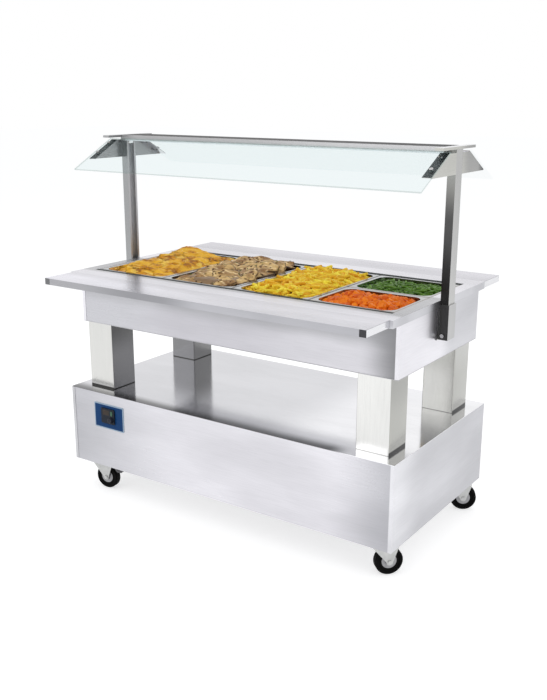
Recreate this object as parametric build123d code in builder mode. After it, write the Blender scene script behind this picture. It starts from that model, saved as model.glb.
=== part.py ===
from build123d import *
import math
import os

os.makedirs("parts", exist_ok=True)

# Driving dimensions, millimetres. X is the length, -Y the customer's side, Z up, floor at zero.
sheet = 1.5
touch_gap = 0.3
hinge_fit = 0.05

plinth_overhang_x = 28
plinth_overhang_y = 58.5
plinth_height = 312
plinth_cover = 2
seam_flange = 14
leg_size = 125
leg_height = 265
leg_wall = 2
leg_corner = 4
leg_inset = 24
leg_foot = 3
leg_cable_hole = 40

well_margin_x = 49
well_margin_y = 51.5
casing_height = 181
worktop_overhang_x = 1
worktop_overhang_y = 51.5
worktop_edge = 27
worktop_return = 20

pan_x = 325
pan_y = 530
pan_depth = 100
pan_wall = 1.2
pan_rim_width = 12.5
pan_rim_height = 4
pan_rim_corner = 8
pan_body_corner = 42
pan_draft = 5
bay_count = 4
bay_gap = 2
half_pan_gap = 2
recess_depth = 6
recess_margin_x = 3
recess_margin_y = 21
ledge_overlap_x = 10
ledge_overlap_y = 10
bar_width = 20
bar_height = 12
tank_depth = 160
tank_corner = 20
tank_flange = 10
insulation_thick = 20
insulation_top_drop = 40
element_radius = 4
element_rise = 14
element_pitch = 100
element_end_gap = 80
element_bend = 30
element_clip = 12
drain_inset = 143
drain_bore = 8
drain_pipe_radius = 11
valve_drop = 38
valve_radius = 19
valve_length = 46
spigot_radius = 9
spigot_length = 24
lever_length = 82
lever_width = 16
lever_thick = 3
stem_radius = 5

food_gap = 0.3

tray_depth = 147
tray_gap = 1
tray_thick = 25
tray_end_inset = 14
rear_tray_end_inset = 2
tray_lip = 25
tray_cap_thick = 2
tray_cap_plug = 8
hinge_inset = 169
hinge_count = 3
barrel_radius = 6
barrel_length = 30
barrel_drop = 7
hinge_pin_radius = 3
hinge_leaf = 34
hinge_leaf_thick = 1.5

post_x = 30
post_y = 50
post_wall = 2
post_slot = 30
post_rise = 500
socket_height = 122
socket_wall = 4
socket_top_drop = 13
socket_foot = 3
socket_tab = 14
post_foot_gap = 6
bolt_radius = 4
bolt_head_radius = 7
bolt_head = 5
socket_bolt_height = 15
rail_bolt_radius = 3
rail_bolt_head_radius = 5
rail_nut_thick = 4
clamp_screw_radius = 5.5
clamp_screw_head = 3.5
clamp_screw_drop = 21
clamp_screw_shift = -7

rail_width = 120
rail_height = 22.5
rail_above_post = 9.5
lamp_radius = 6
lamp_holder = 9
lamp_cover_thick = 2
cross_plate_reach = 128
cross_plate_thick = 9
guard_slope = 27.9
guard_rail_gap = 20
guard_drop = 8.5
guard_slant = 233
guard_overhang = 35
glass_thick = 6
gusset_reach = 129
gusset_height = 80
gusset_sheet = 2
gusset_flange = 33
glass_screw_radius = 3
glass_screw_head = 7
glass_screw_rise = 3
glass_hole_gap = 1
glass_screw_inset = 16
glass_screw_first = 36
glass_screw_pitch = 72

panel_inset = 200
panel_drop = 94.5
panel_width = 156
panel_height = 103
panel_thick = 2
panel_corner = 5
unit_width = 69
unit_height = 62
unit_thick = 6
unit_corner = 3
unit_offset_x = -1.5
unit_offset_z = 4.5
knob_radius = 11
knob_height = 10
knob_shaft_radius = 3
knob_shaft = 4
knob_offset_x = 17
knob_offset_z = -14
knob_notch = 2
rocker_width = 9
rocker_height = 18
rocker_thick = 5
rocker_pin_radius = 1
rocker_pin = 1
rocker_offset_x = 21
rocker_offset_z = 14
rocker_gap = 0.6
rocker_rise = 1.5

gland_inset = 170
gland_rise = 65
gland_bore = 6
gland_thread = 10
gland_nut = 14
gland_nut_thick = 6
gland_reach = 24
vent_length = 60
vent_width = 5
vent_rows = 6
vent_columns = 3
vent_pitch_x = 80
vent_pitch_z = 14
vent_inset = 310
rear_screw_margin = 30
rear_screw_radius = 2
rear_screw_head = 5
rear_screw_rise = 2

castor_inset_x = 80
castor_inset_y = 60
castor_clear = 25
castor_trail = 38
castor_plate_x = 100
castor_plate_y = 85
castor_plate_thick = 4
castor_race_radius = 27
castor_race = 5
kingpin_radius = 6
fork_crown = 4
fork_cheek = 3
wheel_radius = 50
wheel_width = 31
tyre_depth = 11
hub_radius = 13
hub_gap = 1
axle_radius = 4
axle_head = 8
axle_head_thick = 4
fork_eye = 12
castor_bolt_head = 7
castor_bolt_rise = 4
castor_bolt_margin = 11
castor_angles = {"fl": 8.0, "fr": 46.0, "rl": 30.0, "rr": 28.0}
pedal_width = 24
pedal_pin_radius = 2.5
pedal_pivot = 25
pedal_bend = 26
pedal_reach = 46
pedal_drop = 30
pedal_thick = 5

# Sizes that follow from the driving dimensions: the pans set the casing, the casing sets the rest
bay_pitch = pan_x + bay_gap
bays_x = bay_count * pan_x + (bay_count - 1) * bay_gap
casing_length = bays_x + 2 * well_margin_x
casing_width = pan_y + 2 * well_margin_y
worktop_length = casing_length + 2 * worktop_overhang_x
worktop_width = casing_width + 2 * worktop_overhang_y
plinth_length = casing_length + 2 * plinth_overhang_x
plinth_width = casing_width + 2 * plinth_overhang_y
castor_height = 2 * wheel_radius + castor_clear
castor_x = plinth_length / 2 - castor_inset_x
castor_y = plinth_width / 2 - castor_inset_y
plinth_top = castor_height + plinth_height
casing_base = plinth_top + leg_height
casing_top = casing_base + casing_height
worktop_top = casing_top + worktop_edge
half_casing = casing_length / 2
half_depth = casing_width / 2
half_top = worktop_length / 2
front_edge = worktop_width / 2
leg_x = half_casing - leg_inset - leg_size / 2
leg_y = half_depth - leg_size / 2
bay_centres = [(i - (bay_count - 1) / 2) * bay_pitch for i in range(bay_count)]
recess_x = bays_x + 2 * recess_margin_x
recess_y = pan_y + 2 * recess_margin_y
ledge_z = worktop_top - recess_depth
tank_x = bays_x - 2 * ledge_overlap_x
tank_y = pan_y - 2 * ledge_overlap_y
tank_top = ledge_z - sheet
tank_bottom = tank_top - tank_depth
tank_floor = tank_bottom + sheet
drain_x = tank_x / 2 - drain_inset
drain_y = element_pitch
post_top = worktop_top + post_rise
panel_x = -plinth_length / 2 + panel_inset
panel_z = plinth_top - panel_drop
gland_x = -plinth_length / 2 + gland_inset
gland_z = castor_height + gland_rise
vent_x = plinth_length / 2 - vent_inset


def save(part, name):
    part.label = name
    export_step(part, "parts/" + name + ".step")


def frame_ring(height, thick, outer, inner, corner=0.0):
    """A flat rectangular ring, outer and inner given as X and Y sizes."""
    with BuildPart() as ring:
        with BuildSketch(Plane.XY.offset(height)):
            Rectangle(outer[0], outer[1])
            if corner > 0:
                RectangleRounded(inner[0], inner[1], corner, mode=Mode.SUBTRACT)
            else:
                Rectangle(inner[0], inner[1], mode=Mode.SUBTRACT)
        extrude(amount=thick)
    return ring.part


# Plinth front panel, its ends tucked behind the folded flanges of the end panels
plinth_wall_height = plinth_height - plinth_cover
plinth_front_y = -plinth_width / 2 + sheet
with BuildPart() as plinth_front:
    with BuildSketch(Plane.XY.offset(castor_height)):
        with Locations((0, plinth_front_y + sheet / 2)):
            Rectangle(plinth_length - 2 * sheet, sheet)
    extrude(amount=plinth_wall_height)
save(plinth_front.part, "plinth_front")

# Plinth end panels, each with a narrow flange folded round onto the front and the rear
with BuildPart() as plinth_ends:
    for side in (-1, 1):
        with BuildSketch(Plane.XY.offset(castor_height)):
            with Locations((side * (plinth_length - sheet) / 2, 0)):
                Rectangle(sheet, plinth_width)
            for end in (-1, 1):
                with Locations((side * (plinth_length - seam_flange) / 2, end * (plinth_width - sheet) / 2)):
                    Rectangle(seam_flange, sheet)
        extrude(amount=plinth_wall_height)
save(plinth_ends.part, "plinth_ends")

# Plinth top panel, lying on the walls and flush with them
with BuildPart() as plinth_cover_panel:
    with BuildSketch(Plane.XY.offset(plinth_top - plinth_cover)):
        RectangleRounded(plinth_length, plinth_width, leg_wall)
        for x in (-leg_x, leg_x):
            with Locations((x, leg_y)):
                Circle(leg_cable_hole / 2, mode=Mode.SUBTRACT)
    extrude(amount=plinth_cover)
save(plinth_cover_panel.part, "plinth_top")

# Plinth floor sheet inside the walls
with BuildPart() as plinth_floor:
    with BuildSketch(Plane.XY.offset(castor_height)):
        Rectangle(plinth_length - 2 * sheet, plinth_width - 4 * sheet)
    extrude(amount=sheet)
save(plinth_floor.part, "plinth_floor")

# Plinth rear panel with vent slots and the hole for the cable gland
rear_plane = Plane(origin=(0, plinth_width / 2 - sheet, 0), x_dir=(-1, 0, 0), z_dir=(0, 1, 0))
rear_middle = castor_height + plinth_wall_height / 2
rear_screw_x = plinth_length / 2 - rear_screw_margin
rear_screw_z = plinth_wall_height / 2 - rear_screw_margin
with BuildPart() as plinth_rear:
    with BuildSketch(rear_plane):
        with Locations((0, rear_middle)):
            Rectangle(plinth_length - 2 * sheet, plinth_wall_height)
        with Locations((-vent_x, rear_middle)):
            with GridLocations(vent_pitch_x, vent_pitch_z, vent_columns, vent_rows):
                SlotOverall(vent_length, vent_width, mode=Mode.SUBTRACT)
        with Locations((-gland_x, gland_z)):
            Circle(gland_thread, mode=Mode.SUBTRACT)
        with Locations((0, rear_middle)):
            with GridLocations(2 * rear_screw_x, 2 * rear_screw_z, 2, 2):
                Circle(rear_screw_radius, mode=Mode.SUBTRACT)
    extrude(amount=-sheet)
save(plinth_rear.part, "plinth_rear_panel")

# Four square legs, each a folded tube with a foot plate that lets the wiring through
with BuildPart() as legs:
    with BuildSketch(Plane.XY.offset(plinth_top)):
        with GridLocations(2 * leg_x, 2 * leg_y, 2, 2):
            RectangleRounded(leg_size, leg_size, leg_corner)
            leg_bore = leg_size - 2 * leg_wall
            RectangleRounded(leg_bore, leg_bore, leg_corner - leg_wall, mode=Mode.SUBTRACT)
    extrude(amount=leg_height)
    with BuildSketch(Plane.XY.offset(plinth_top)):
        with GridLocations(2 * leg_x, 2 * leg_y, 2, 2):
            Rectangle(leg_size - leg_wall, leg_size - leg_wall)
            Circle(leg_cable_hole / 2, mode=Mode.SUBTRACT)
    extrude(amount=leg_foot)
save(legs.part, "legs")

# Well casing: long panels, end panels with folded flanges, floor
wall_height = casing_height - sheet
with BuildPart() as casing_panels:
    with BuildSketch(Plane.XY.offset(casing_base + sheet)):
        for side in (-1, 1):
            with Locations((0, side * (half_depth - 1.5 * sheet))):
                Rectangle(casing_length - 2 * sheet, sheet)
    extrude(amount=wall_height)
save(casing_panels.part, "casing_panels")

with BuildPart() as casing_ends:
    for side in (-1, 1):
        with BuildSketch(Plane.XY.offset(casing_base + sheet)):
            with Locations((side * (casing_length - sheet) / 2, 0)):
                Rectangle(sheet, casing_width)
            for end in (-1, 1):
                with Locations((side * (casing_length - seam_flange) / 2, end * (casing_width - sheet) / 2)):
                    Rectangle(seam_flange, sheet)
        extrude(amount=wall_height)
save(casing_ends.part, "casing_ends")

drain_clear = drain_pipe_radius + 2 * sheet
with BuildPart() as casing_floor:
    with BuildSketch(Plane.XY.offset(casing_base)):
        Rectangle(casing_length, casing_width)
        with Locations((drain_x, drain_y)):
            Circle(drain_clear, mode=Mode.SUBTRACT)
        for x in (-leg_x, leg_x):
            with Locations((x, leg_y)):
                Circle(leg_cable_hole / 2, mode=Mode.SUBTRACT)
    extrude(amount=sheet)
save(casing_floor.part, "casing_floor")

# Worktop: skin, folded edge, return fold that lies on the casing, recess and pan ledge
skin_z = worktop_top - sheet
return_y = casing_width - 2 * worktop_return
return_x = worktop_length - 2 * worktop_return
recess_outer = (recess_x + 2 * sheet, recess_y + 2 * sheet)
with BuildPart() as worktop:
    add(frame_ring(skin_z, sheet, (worktop_length, worktop_width), (recess_x, recess_y)))
    edge_inner = (worktop_length - 2 * sheet, worktop_width - 2 * sheet)
    add(frame_ring(casing_top, worktop_edge - sheet, (worktop_length, worktop_width), edge_inner))
    add(frame_ring(casing_top, sheet, (worktop_length, worktop_width), (return_x, return_y)))
    add(frame_ring(tank_top, recess_depth, recess_outer, (recess_x, recess_y)))
    add(frame_ring(tank_top, sheet, recess_outer, (tank_x, tank_y), tank_corner))
    fillet(worktop.edges().filter_by(Axis.Z).group_by(Axis.X)[-1], sheet / 2)
    fillet(worktop.edges().filter_by(Axis.Z).group_by(Axis.X)[0], sheet / 2)
save(worktop.part, "worktop")

# Water well: a tank welded under the ledge, with a drain hole and two holes for the heater
element_rows = [(i - 1.5) * element_pitch for i in range(4)]
element_z = tank_floor + element_rise
with BuildPart() as well_tank:
    with BuildSketch(Plane.XY.offset(tank_bottom)):
        RectangleRounded(tank_x + 2 * sheet, tank_y + 2 * sheet, tank_corner + sheet)
    extrude(amount=tank_depth)
    with BuildSketch(Plane.XY.offset(tank_top - sheet)):
        flange_grow = 2 * (sheet + tank_flange)
        Rectangle(tank_x + flange_grow, tank_y + flange_grow)
    extrude(amount=sheet)
    with BuildSketch(Plane.XY.offset(tank_floor)):
        RectangleRounded(tank_x, tank_y, tank_corner)
    extrude(amount=tank_depth, mode=Mode.SUBTRACT)
    with BuildSketch(Plane.XY.offset(tank_bottom)):
        with Locations((drain_x, drain_y)):
            Circle(drain_bore)
    extrude(amount=sheet, mode=Mode.SUBTRACT)
    with BuildSketch(Plane.YZ.offset(-tank_x / 2 - sheet)):
        for y in (element_rows[0], element_rows[-1]):
            with Locations((y, element_z)):
                Circle(element_radius)
    extrude(amount=sheet, mode=Mode.SUBTRACT)
save(well_tank.part, "well_tank")

# Insulation under and round the tank, lying on the casing floor
insulation_z = casing_base + sheet
with BuildPart() as tank_insulation:
    with BuildSketch(Plane.XY.offset(insulation_z)):
        grow = 2 * (sheet + insulation_thick)
        RectangleRounded(tank_x + grow, tank_y + grow, tank_corner)
    extrude(amount=tank_top - insulation_top_drop - insulation_z)
    with BuildSketch(Plane.XY.offset(tank_bottom)):
        grow = 2 * (sheet + touch_gap)
        RectangleRounded(tank_x + grow, tank_y + grow, tank_corner)
    extrude(amount=tank_depth, mode=Mode.SUBTRACT)
    with BuildSketch(Plane.XY.offset(insulation_z)):
        with Locations((drain_x, drain_y)):
            Circle(drain_clear)
    extrude(amount=tank_bottom - insulation_z, mode=Mode.SUBTRACT)
save(tank_insulation.part, "tank_insulation")

# Tubular heating element: two hairpins in one run, its ends through the left wall of the tank
element_left = -tank_x / 2 + element_end_gap
element_right = tank_x / 2 - element_end_gap
with BuildPart() as heating_element:
    with BuildLine() as element_path:
        FilletPolyline(
            (-tank_x / 2 - sheet, element_rows[0], element_z),
            (element_right, element_rows[0], element_z),
            (element_right, element_rows[1], element_z),
            (element_left, element_rows[1], element_z),
            (element_left, element_rows[2], element_z),
            (element_right, element_rows[2], element_z),
            (element_right, element_rows[3], element_z),
            (-tank_x / 2 - sheet, element_rows[3], element_z),
            radius=element_bend,
        )
    with BuildSketch(Plane.YZ.offset(-tank_x / 2 - sheet)):
        with Locations((element_rows[0], element_z)):
            Circle(element_radius)
    sweep()
    with BuildSketch(Plane.XY.offset(tank_floor)):
        with GridLocations(tank_x / 3, 0, 3, 1):
            Rectangle(element_clip, element_rows[3] - element_rows[0] + 2 * element_clip)
    extrude(amount=element_rise)
save(heating_element.part, "heating_element")

# Drain: pipe from the tank floor, valve body under the casing and a hose spigot
valve_top = casing_base - valve_drop + valve_length / 2
valve_z = valve_top - valve_length / 2
valve_foot = valve_top - valve_length
stem_hole_depth = valve_radius - drain_bore - 2 * sheet
stem_plane = Plane(origin=(drain_x, drain_y + valve_radius, valve_z), x_dir=(1, 0, 0), z_dir=(0, 1, 0))
with BuildPart() as drain_valve:
    with BuildSketch(Plane.XY.offset(valve_top)):
        with Locations((drain_x, drain_y)):
            Circle(drain_pipe_radius)
    extrude(amount=tank_bottom - valve_top)
    with BuildSketch(Plane.XY.offset(valve_foot)):
        with Locations((drain_x, drain_y)):
            Rectangle(2 * valve_radius, 2 * valve_radius)
    extrude(amount=valve_length)
    with BuildSketch(Plane.XY.offset(valve_foot)):
        with Locations((drain_x, drain_y)):
            Circle(spigot_radius)
    extrude(amount=-spigot_length)
    with BuildSketch(Plane.XY.offset(valve_foot - spigot_length)):
        with Locations((drain_x, drain_y)):
            Circle(drain_bore - sheet)
    extrude(amount=tank_bottom - valve_foot + spigot_length, mode=Mode.SUBTRACT)
    with BuildSketch(stem_plane):
        Circle(stem_radius + hinge_fit)
    extrude(amount=-stem_hole_depth, mode=Mode.SUBTRACT)
save(drain_valve.part, "drain_valve")

# Valve lever: a flat handle on a turning stem, horizontal when the valve is shut
with BuildPart() as drain_lever:
    with BuildSketch(stem_plane.offset(touch_gap)):
        Circle(stem_radius)
    extrude(amount=-stem_hole_depth + touch_gap)
    with BuildSketch(stem_plane.offset(touch_gap)):
        with Locations((-lever_length / 2 + lever_width / 2, 0)):
            SlotOverall(lever_length, lever_width)
    extrude(amount=lever_thick)
save(drain_lever.part, "drain_lever")

# Bars between the bays and between the two half-size pans
bar_z = ledge_z - bar_height
last_bay = bay_centres[-1]
with BuildPart() as pan_bars:
    with BuildSketch(Plane.XY.offset(bar_z)):
        with GridLocations(bay_pitch, 0, bay_count - 1, 1):
            Rectangle(bar_width, tank_y)
    extrude(amount=bar_height)
    cross_start = last_bay - bay_pitch / 2
    with BuildSketch(Plane.XY.offset(bar_z)):
        with Locations(((cross_start + tank_x / 2) / 2, 0)):
            Rectangle(tank_x / 2 - cross_start, bar_width)
    extrude(amount=bar_height)
    with BuildSketch(Plane.XY.offset(bar_z)):
        with GridLocations(bay_pitch, 0, bay_count - 1, 1):
            Rectangle(bar_width - 2 * sheet, tank_y)
    extrude(amount=bar_height - sheet, mode=Mode.SUBTRACT)
    with BuildSketch(Plane.XY.offset(bar_z)):
        with Locations(((cross_start + tank_x / 2) / 2 + bar_width / 2, 0)):
            Rectangle(tank_x / 2 - cross_start - bar_width, bar_width - 2 * sheet)
    extrude(amount=bar_height - sheet, mode=Mode.SUBTRACT)
save(pan_bars.part, "pan_bars")

# Pans: a flat rim with a turned edge that rests on the ledge, over a drafted body
rim_top = ledge_z + pan_rim_height
pan_floor = rim_top - pan_depth


def inner_size(size_y, height):
    """Length, width and corner of a pan's hollow at a height."""
    share = (rim_top - height) / pan_depth
    shrink = 2 * pan_draft * share
    corner = pan_body_corner - pan_wall - pan_draft * share
    x = pan_x - 2 * pan_rim_width - 2 * pan_wall - shrink
    y = size_y - 2 * pan_rim_width - 2 * pan_wall - shrink
    return x, y, corner


def make_pan(x, y, size_y):
    body_top = inner_size(size_y, rim_top)
    body_foot = inner_size(size_y, pan_floor + pan_wall)
    with BuildPart() as pan:
        with BuildSketch(Plane.XY.offset(pan_floor)):
            with Locations((x, y)):
                RectangleRounded(body_foot[0] + 2 * pan_wall, body_foot[1] + 2 * pan_wall, body_foot[2] + pan_wall)
        with BuildSketch(Plane.XY.offset(rim_top)):
            with Locations((x, y)):
                RectangleRounded(body_top[0] + 2 * pan_wall, body_top[1] + 2 * pan_wall, body_top[2] + pan_wall)
        loft()
        with BuildSketch(Plane.XY.offset(rim_top - pan_wall)):
            with Locations((x, y)):
                RectangleRounded(pan_x, size_y, pan_rim_corner)
        extrude(amount=pan_wall)
        with BuildSketch(Plane.XY.offset(ledge_z)):
            with Locations((x, y)):
                RectangleRounded(pan_x, size_y, pan_rim_corner)
                lip = 2 * pan_wall
                RectangleRounded(pan_x - lip, size_y - lip, pan_rim_corner - pan_wall, mode=Mode.SUBTRACT)
        extrude(amount=pan_rim_height - pan_wall)
        with BuildSketch(Plane.XY.offset(pan_floor + pan_wall)):
            with Locations((x, y)):
                RectangleRounded(*body_foot)
        with BuildSketch(Plane.XY.offset(rim_top)):
            with Locations((x, y)):
                RectangleRounded(*body_top)
        loft(mode=Mode.SUBTRACT)
    return pan.part


def make_food(x, y, size_y, edge_drop, heap, heap_inset):
    """Food that fills a pan up to edge_drop below the rim and heaps up inside heap_inset."""
    level = rim_top - edge_drop
    foot = inner_size(size_y, pan_floor + pan_wall)
    edge = inner_size(size_y, level)
    with BuildPart() as food:
        with BuildSketch(Plane.XY.offset(pan_floor + pan_wall)):
            with Locations((x, y)):
                RectangleRounded(foot[0] - 2 * food_gap, foot[1] - 2 * food_gap, foot[2] - food_gap)
        with BuildSketch(Plane.XY.offset(level)):
            with Locations((x, y)):
                RectangleRounded(edge[0] - 2 * food_gap, edge[1] - 2 * food_gap, edge[2] - food_gap)
        loft()
        with BuildSketch(Plane.XY.offset(level)):
            with Locations((x, y)):
                RectangleRounded(edge[0] - 2 * food_gap, edge[1] - 2 * food_gap, edge[2] - food_gap)
        with BuildSketch(Plane.XY.offset(level + heap)):
            with Locations((x, y)):
                RectangleRounded(edge[0] - 2 * heap_inset, edge[1] - 2 * heap_inset, edge[2] / 2)
        loft()
    return food.part


half_pan_y = (pan_y - half_pan_gap) / 2
half_centre = (half_pan_y + half_pan_gap) / 2
fillings = [
    ("gratin", bay_centres[0], 0, pan_y, 8, 26, 45),
    ("roast", bay_centres[1], 0, pan_y, 16, 26, 40),
    ("fries", bay_centres[2], 0, pan_y, 16, 28, 45),
    ("carrots", last_bay, -half_centre, half_pan_y, 18, 18, 34),
    ("beans", last_bay, half_centre, half_pan_y, 18, 18, 34),
]
for food_name, x, y, size_y, edge_drop, heap, heap_inset in fillings:
    save(make_pan(x, y, size_y), "pan_" + food_name)
    save(make_food(x, y, size_y, edge_drop, heap, heap_inset), "food_" + food_name)

# Hinge line of the front tray slide, under the worktop's front edge
tray_inner_y = -front_edge - tray_gap
tray_outer_y = tray_inner_y - tray_depth
tray_half = half_top - tray_end_inset
rear_tray_half = half_top - rear_tray_end_inset
tray_foot = worktop_top - tray_thick
hinge_y = tray_inner_y
hinge_z = casing_top - barrel_drop
tube_size = tray_thick - sheet
tube_end_y = tray_outer_y + tray_cap_thick
tube_length = tray_inner_y - tube_end_y
hinge_pitch = 2 * (tray_half - hinge_inset) / (hinge_count - 1)
hinge_xs = [(i - (hinge_count - 1) / 2) * hinge_pitch for i in range(hinge_count)]
side_barrel = barrel_length / 2
side_barrel_x = barrel_length / 2 + touch_gap + side_barrel / 2


def make_tray_shelf(half):
    """Shelf skin with front and rear folds between the end tubes."""
    fold_length = 2 * (half - tube_size - touch_gap)
    with BuildPart() as shelf:
        with BuildSketch(Plane.XY.offset(worktop_top - sheet)):
            with Locations((0, (tray_inner_y + tray_outer_y) / 2)):
                Rectangle(2 * half, tray_depth)
        extrude(amount=sheet)
        with BuildSketch(Plane.XY.offset(tray_foot)):
            with Locations((0, tray_outer_y + sheet / 2), (0, tray_inner_y - sheet / 2)):
                Rectangle(fold_length, sheet)
        extrude(amount=tube_size)
        with BuildSketch(Plane.XY.offset(tray_foot)):
            with Locations((0, tray_outer_y + tray_lip / 2), (0, tray_inner_y - tray_lip / 2)):
                Rectangle(fold_length, tray_lip)
        extrude(amount=sheet)
    return shelf.part


def make_tray_arms(half):
    """End tubes under the skin and the tray half of each hinge."""
    tube_x = half - tube_size / 2
    with BuildPart() as arms:
        with BuildSketch(Plane.XZ.offset(-tray_inner_y)):
            with Locations((-tube_x, tray_foot + tube_size / 2), (tube_x, tray_foot + tube_size / 2)):
                Rectangle(tube_size, tube_size)
                Rectangle(tube_size - 2 * sheet, tube_size - 2 * sheet, mode=Mode.SUBTRACT)
        extrude(amount=tube_length)
        with BuildSketch(Plane.XY.offset(tray_foot - hinge_leaf_thick)):
            for x in hinge_xs:
                with Locations((x, tray_inner_y - tray_lip / 2)):
                    Rectangle(2 * side_barrel_x + side_barrel, tray_lip)
        extrude(amount=hinge_leaf_thick)
        for x in hinge_xs:
            for side in (-1, 1):
                barrel_plane = Plane.YZ.offset(x + side * side_barrel_x - side_barrel / 2)
                with BuildSketch(barrel_plane):
                    with Locations((hinge_y, hinge_z)):
                        Circle(barrel_radius)
                    knuckle_top = tray_foot - hinge_leaf_thick / 2
                    with Locations((hinge_y - barrel_radius / 2, (hinge_z + knuckle_top) / 2)):
                        Rectangle(barrel_radius, knuckle_top - hinge_z)
                    with Locations((hinge_y, hinge_z)):
                        Circle(hinge_pin_radius + hinge_fit, mode=Mode.SUBTRACT)
                extrude(amount=side_barrel)
    return arms.part


def make_tray_caps(half):
    """Dark end caps, each a plate with a plug inside the tube."""
    tube_x = half - tube_size / 2
    with BuildPart() as caps:
        with BuildSketch(Plane.XZ.offset(-tube_end_y)):
            with Locations((-tube_x, tray_foot + tube_size / 2), (tube_x, tray_foot + tube_size / 2)):
                Rectangle(tube_size, tube_size)
        extrude(amount=tray_cap_thick)
        with BuildSketch(Plane.XZ.offset(-tube_end_y)):
            with Locations((-tube_x, tray_foot + tube_size / 2), (tube_x, tray_foot + tube_size / 2)):
                plug = tube_size - 2 * sheet - touch_gap
                Rectangle(plug, plug)
        extrude(amount=-tray_cap_plug)
    return caps.part


def make_tray_brackets():
    """Fixed half of each hinge: leaf under the worktop, middle barrel and the pin."""
    pin_length = 2 * side_barrel_x + side_barrel
    with BuildPart() as brackets:
        with BuildSketch(Plane.XY.offset(casing_top - hinge_leaf_thick)):
            for x in hinge_xs:
                with Locations((x, -front_edge + hinge_leaf / 2)):
                    Rectangle(barrel_length, hinge_leaf)
        extrude(amount=hinge_leaf_thick)
        for x in hinge_xs:
            with BuildSketch(Plane.YZ.offset(x - barrel_length / 2)):
                with Locations((hinge_y, hinge_z)):
                    Circle(barrel_radius)
                knuckle_top = casing_top - hinge_leaf_thick / 2
                knuckle_y = (hinge_y - front_edge + barrel_radius) / 2
                with Locations((knuckle_y, (hinge_z + knuckle_top) / 2)):
                    Rectangle(-front_edge + barrel_radius - hinge_y, knuckle_top - hinge_z)
            extrude(amount=barrel_length)
            with BuildSketch(Plane.YZ.offset(x - pin_length / 2)):
                with Locations((hinge_y, hinge_z)):
                    Circle(hinge_pin_radius)
            extrude(amount=pin_length)
    return brackets.part


def mirrored(part):
    """The same piece on the other long side, the counter being symmetric front to rear."""
    with BuildPart() as other:
        add(part)
        mirror(about=Plane.XZ, mode=Mode.REPLACE)
    return other.part


save(make_tray_shelf(tray_half), "tray_shelf_front")
save(make_tray_arms(tray_half), "tray_arms_front")
save(make_tray_caps(tray_half), "tray_caps_front")
save(make_tray_brackets(), "tray_brackets_front")
save(mirrored(make_tray_shelf(rear_tray_half)), "tray_shelf_rear")
save(mirrored(make_tray_arms(rear_tray_half)), "tray_arms_rear")
save(mirrored(make_tray_caps(rear_tray_half)), "tray_caps_rear")
save(mirrored(make_tray_brackets()), "tray_brackets_rear")

# Posts: lipped channels standing against the ends, slot towards the middle
post_inner_x = half_top + touch_gap
post_centre = post_inner_x + post_x / 2
socket_top = worktop_top - socket_top_drop
socket_foot_z = socket_top - socket_height
post_foot_z = socket_foot_z + socket_foot + post_foot_gap
with BuildPart() as posts:
    with BuildSketch(Plane.XY.offset(post_foot_z)):
        for side in (-1, 1):
            with Locations((side * post_centre, 0)):
                Rectangle(post_x, post_y)
                Rectangle(post_x - 2 * post_wall, post_y - 2 * post_wall, mode=Mode.SUBTRACT)
            with Locations((side * (post_inner_x + post_wall / 2), 0)):
                Rectangle(2 * post_wall, post_slot, mode=Mode.SUBTRACT)
    extrude(amount=post_top - post_foot_z)
save(posts.part, "posts")

# Post sockets: a U of plate round the foot of each post, closed below, with welded tabs
socket_outer_x = post_inner_x + post_x + touch_gap + socket_wall
socket_half_y = post_y / 2 + touch_gap + socket_wall
tab_height = casing_top - socket_foot_z
bolt_z = socket_foot_z + socket_bolt_height
with BuildPart() as post_sockets:
    for side in (-1, 1):
        centre = side * (half_top + socket_outer_x) / 2
        with BuildSketch(Plane.XY.offset(socket_foot_z)):
            with Locations((centre, 0)):
                Rectangle(socket_outer_x - half_top, 2 * socket_half_y)
        extrude(amount=socket_height)
        cavity = side * (half_top + socket_outer_x - socket_wall) / 2
        with BuildSketch(Plane.XY.offset(socket_foot_z + socket_foot)):
            with Locations((cavity, 0)):
                Rectangle(socket_outer_x - socket_wall - half_top, post_y + 2 * touch_gap)
        extrude(amount=socket_height, mode=Mode.SUBTRACT)
        tab_x = side * (half_casing + socket_foot / 2)
        with BuildSketch(Plane.XY.offset(socket_foot_z)):
            for end in (-1, 1):
                with Locations((tab_x, end * (socket_half_y + (socket_tab - socket_wall) / 2))):
                    Rectangle(socket_foot, socket_tab + socket_wall)
        extrude(amount=tab_height)
    with BuildSketch(Plane.XZ.offset(socket_half_y + socket_wall)):
        with Locations((-post_centre, bolt_z), (post_centre, bolt_z)):
            Circle(bolt_radius)
    extrude(amount=-3 * socket_wall, mode=Mode.SUBTRACT)
save(post_sockets.part, "post_sockets")

# Light rail between the posts, a shallow channel with closed ends, and what is in it
rail_top = post_top + rail_above_post
rail_foot = rail_top - rail_height
rail_half = post_inner_x
rail_bolt_z = rail_foot + lamp_cover_thick + rail_bolt_head_radius
with BuildPart() as light_rail:
    with BuildSketch(Plane.XY.offset(rail_foot)):
        Rectangle(2 * rail_half, rail_width)
    extrude(amount=rail_height)
    with BuildSketch(Plane.XY.offset(rail_foot)):
        Rectangle(2 * rail_half - 2 * sheet, rail_width - 2 * sheet)
    extrude(amount=rail_height - sheet, mode=Mode.SUBTRACT)
    with BuildSketch(Plane.YZ.offset(-rail_half)):
        with Locations((0, rail_bolt_z)):
            Circle(rail_bolt_radius)
    extrude(amount=2 * rail_half, mode=Mode.SUBTRACT)
save(light_rail.part, "light_rail")

with BuildPart() as lamp_cover:
    with BuildSketch(Plane.XY.offset(rail_foot)):
        Rectangle(2 * rail_half - 2 * sheet, rail_width - 2 * sheet)
    extrude(amount=lamp_cover_thick)
save(lamp_cover.part, "lamp_cover")

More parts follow.
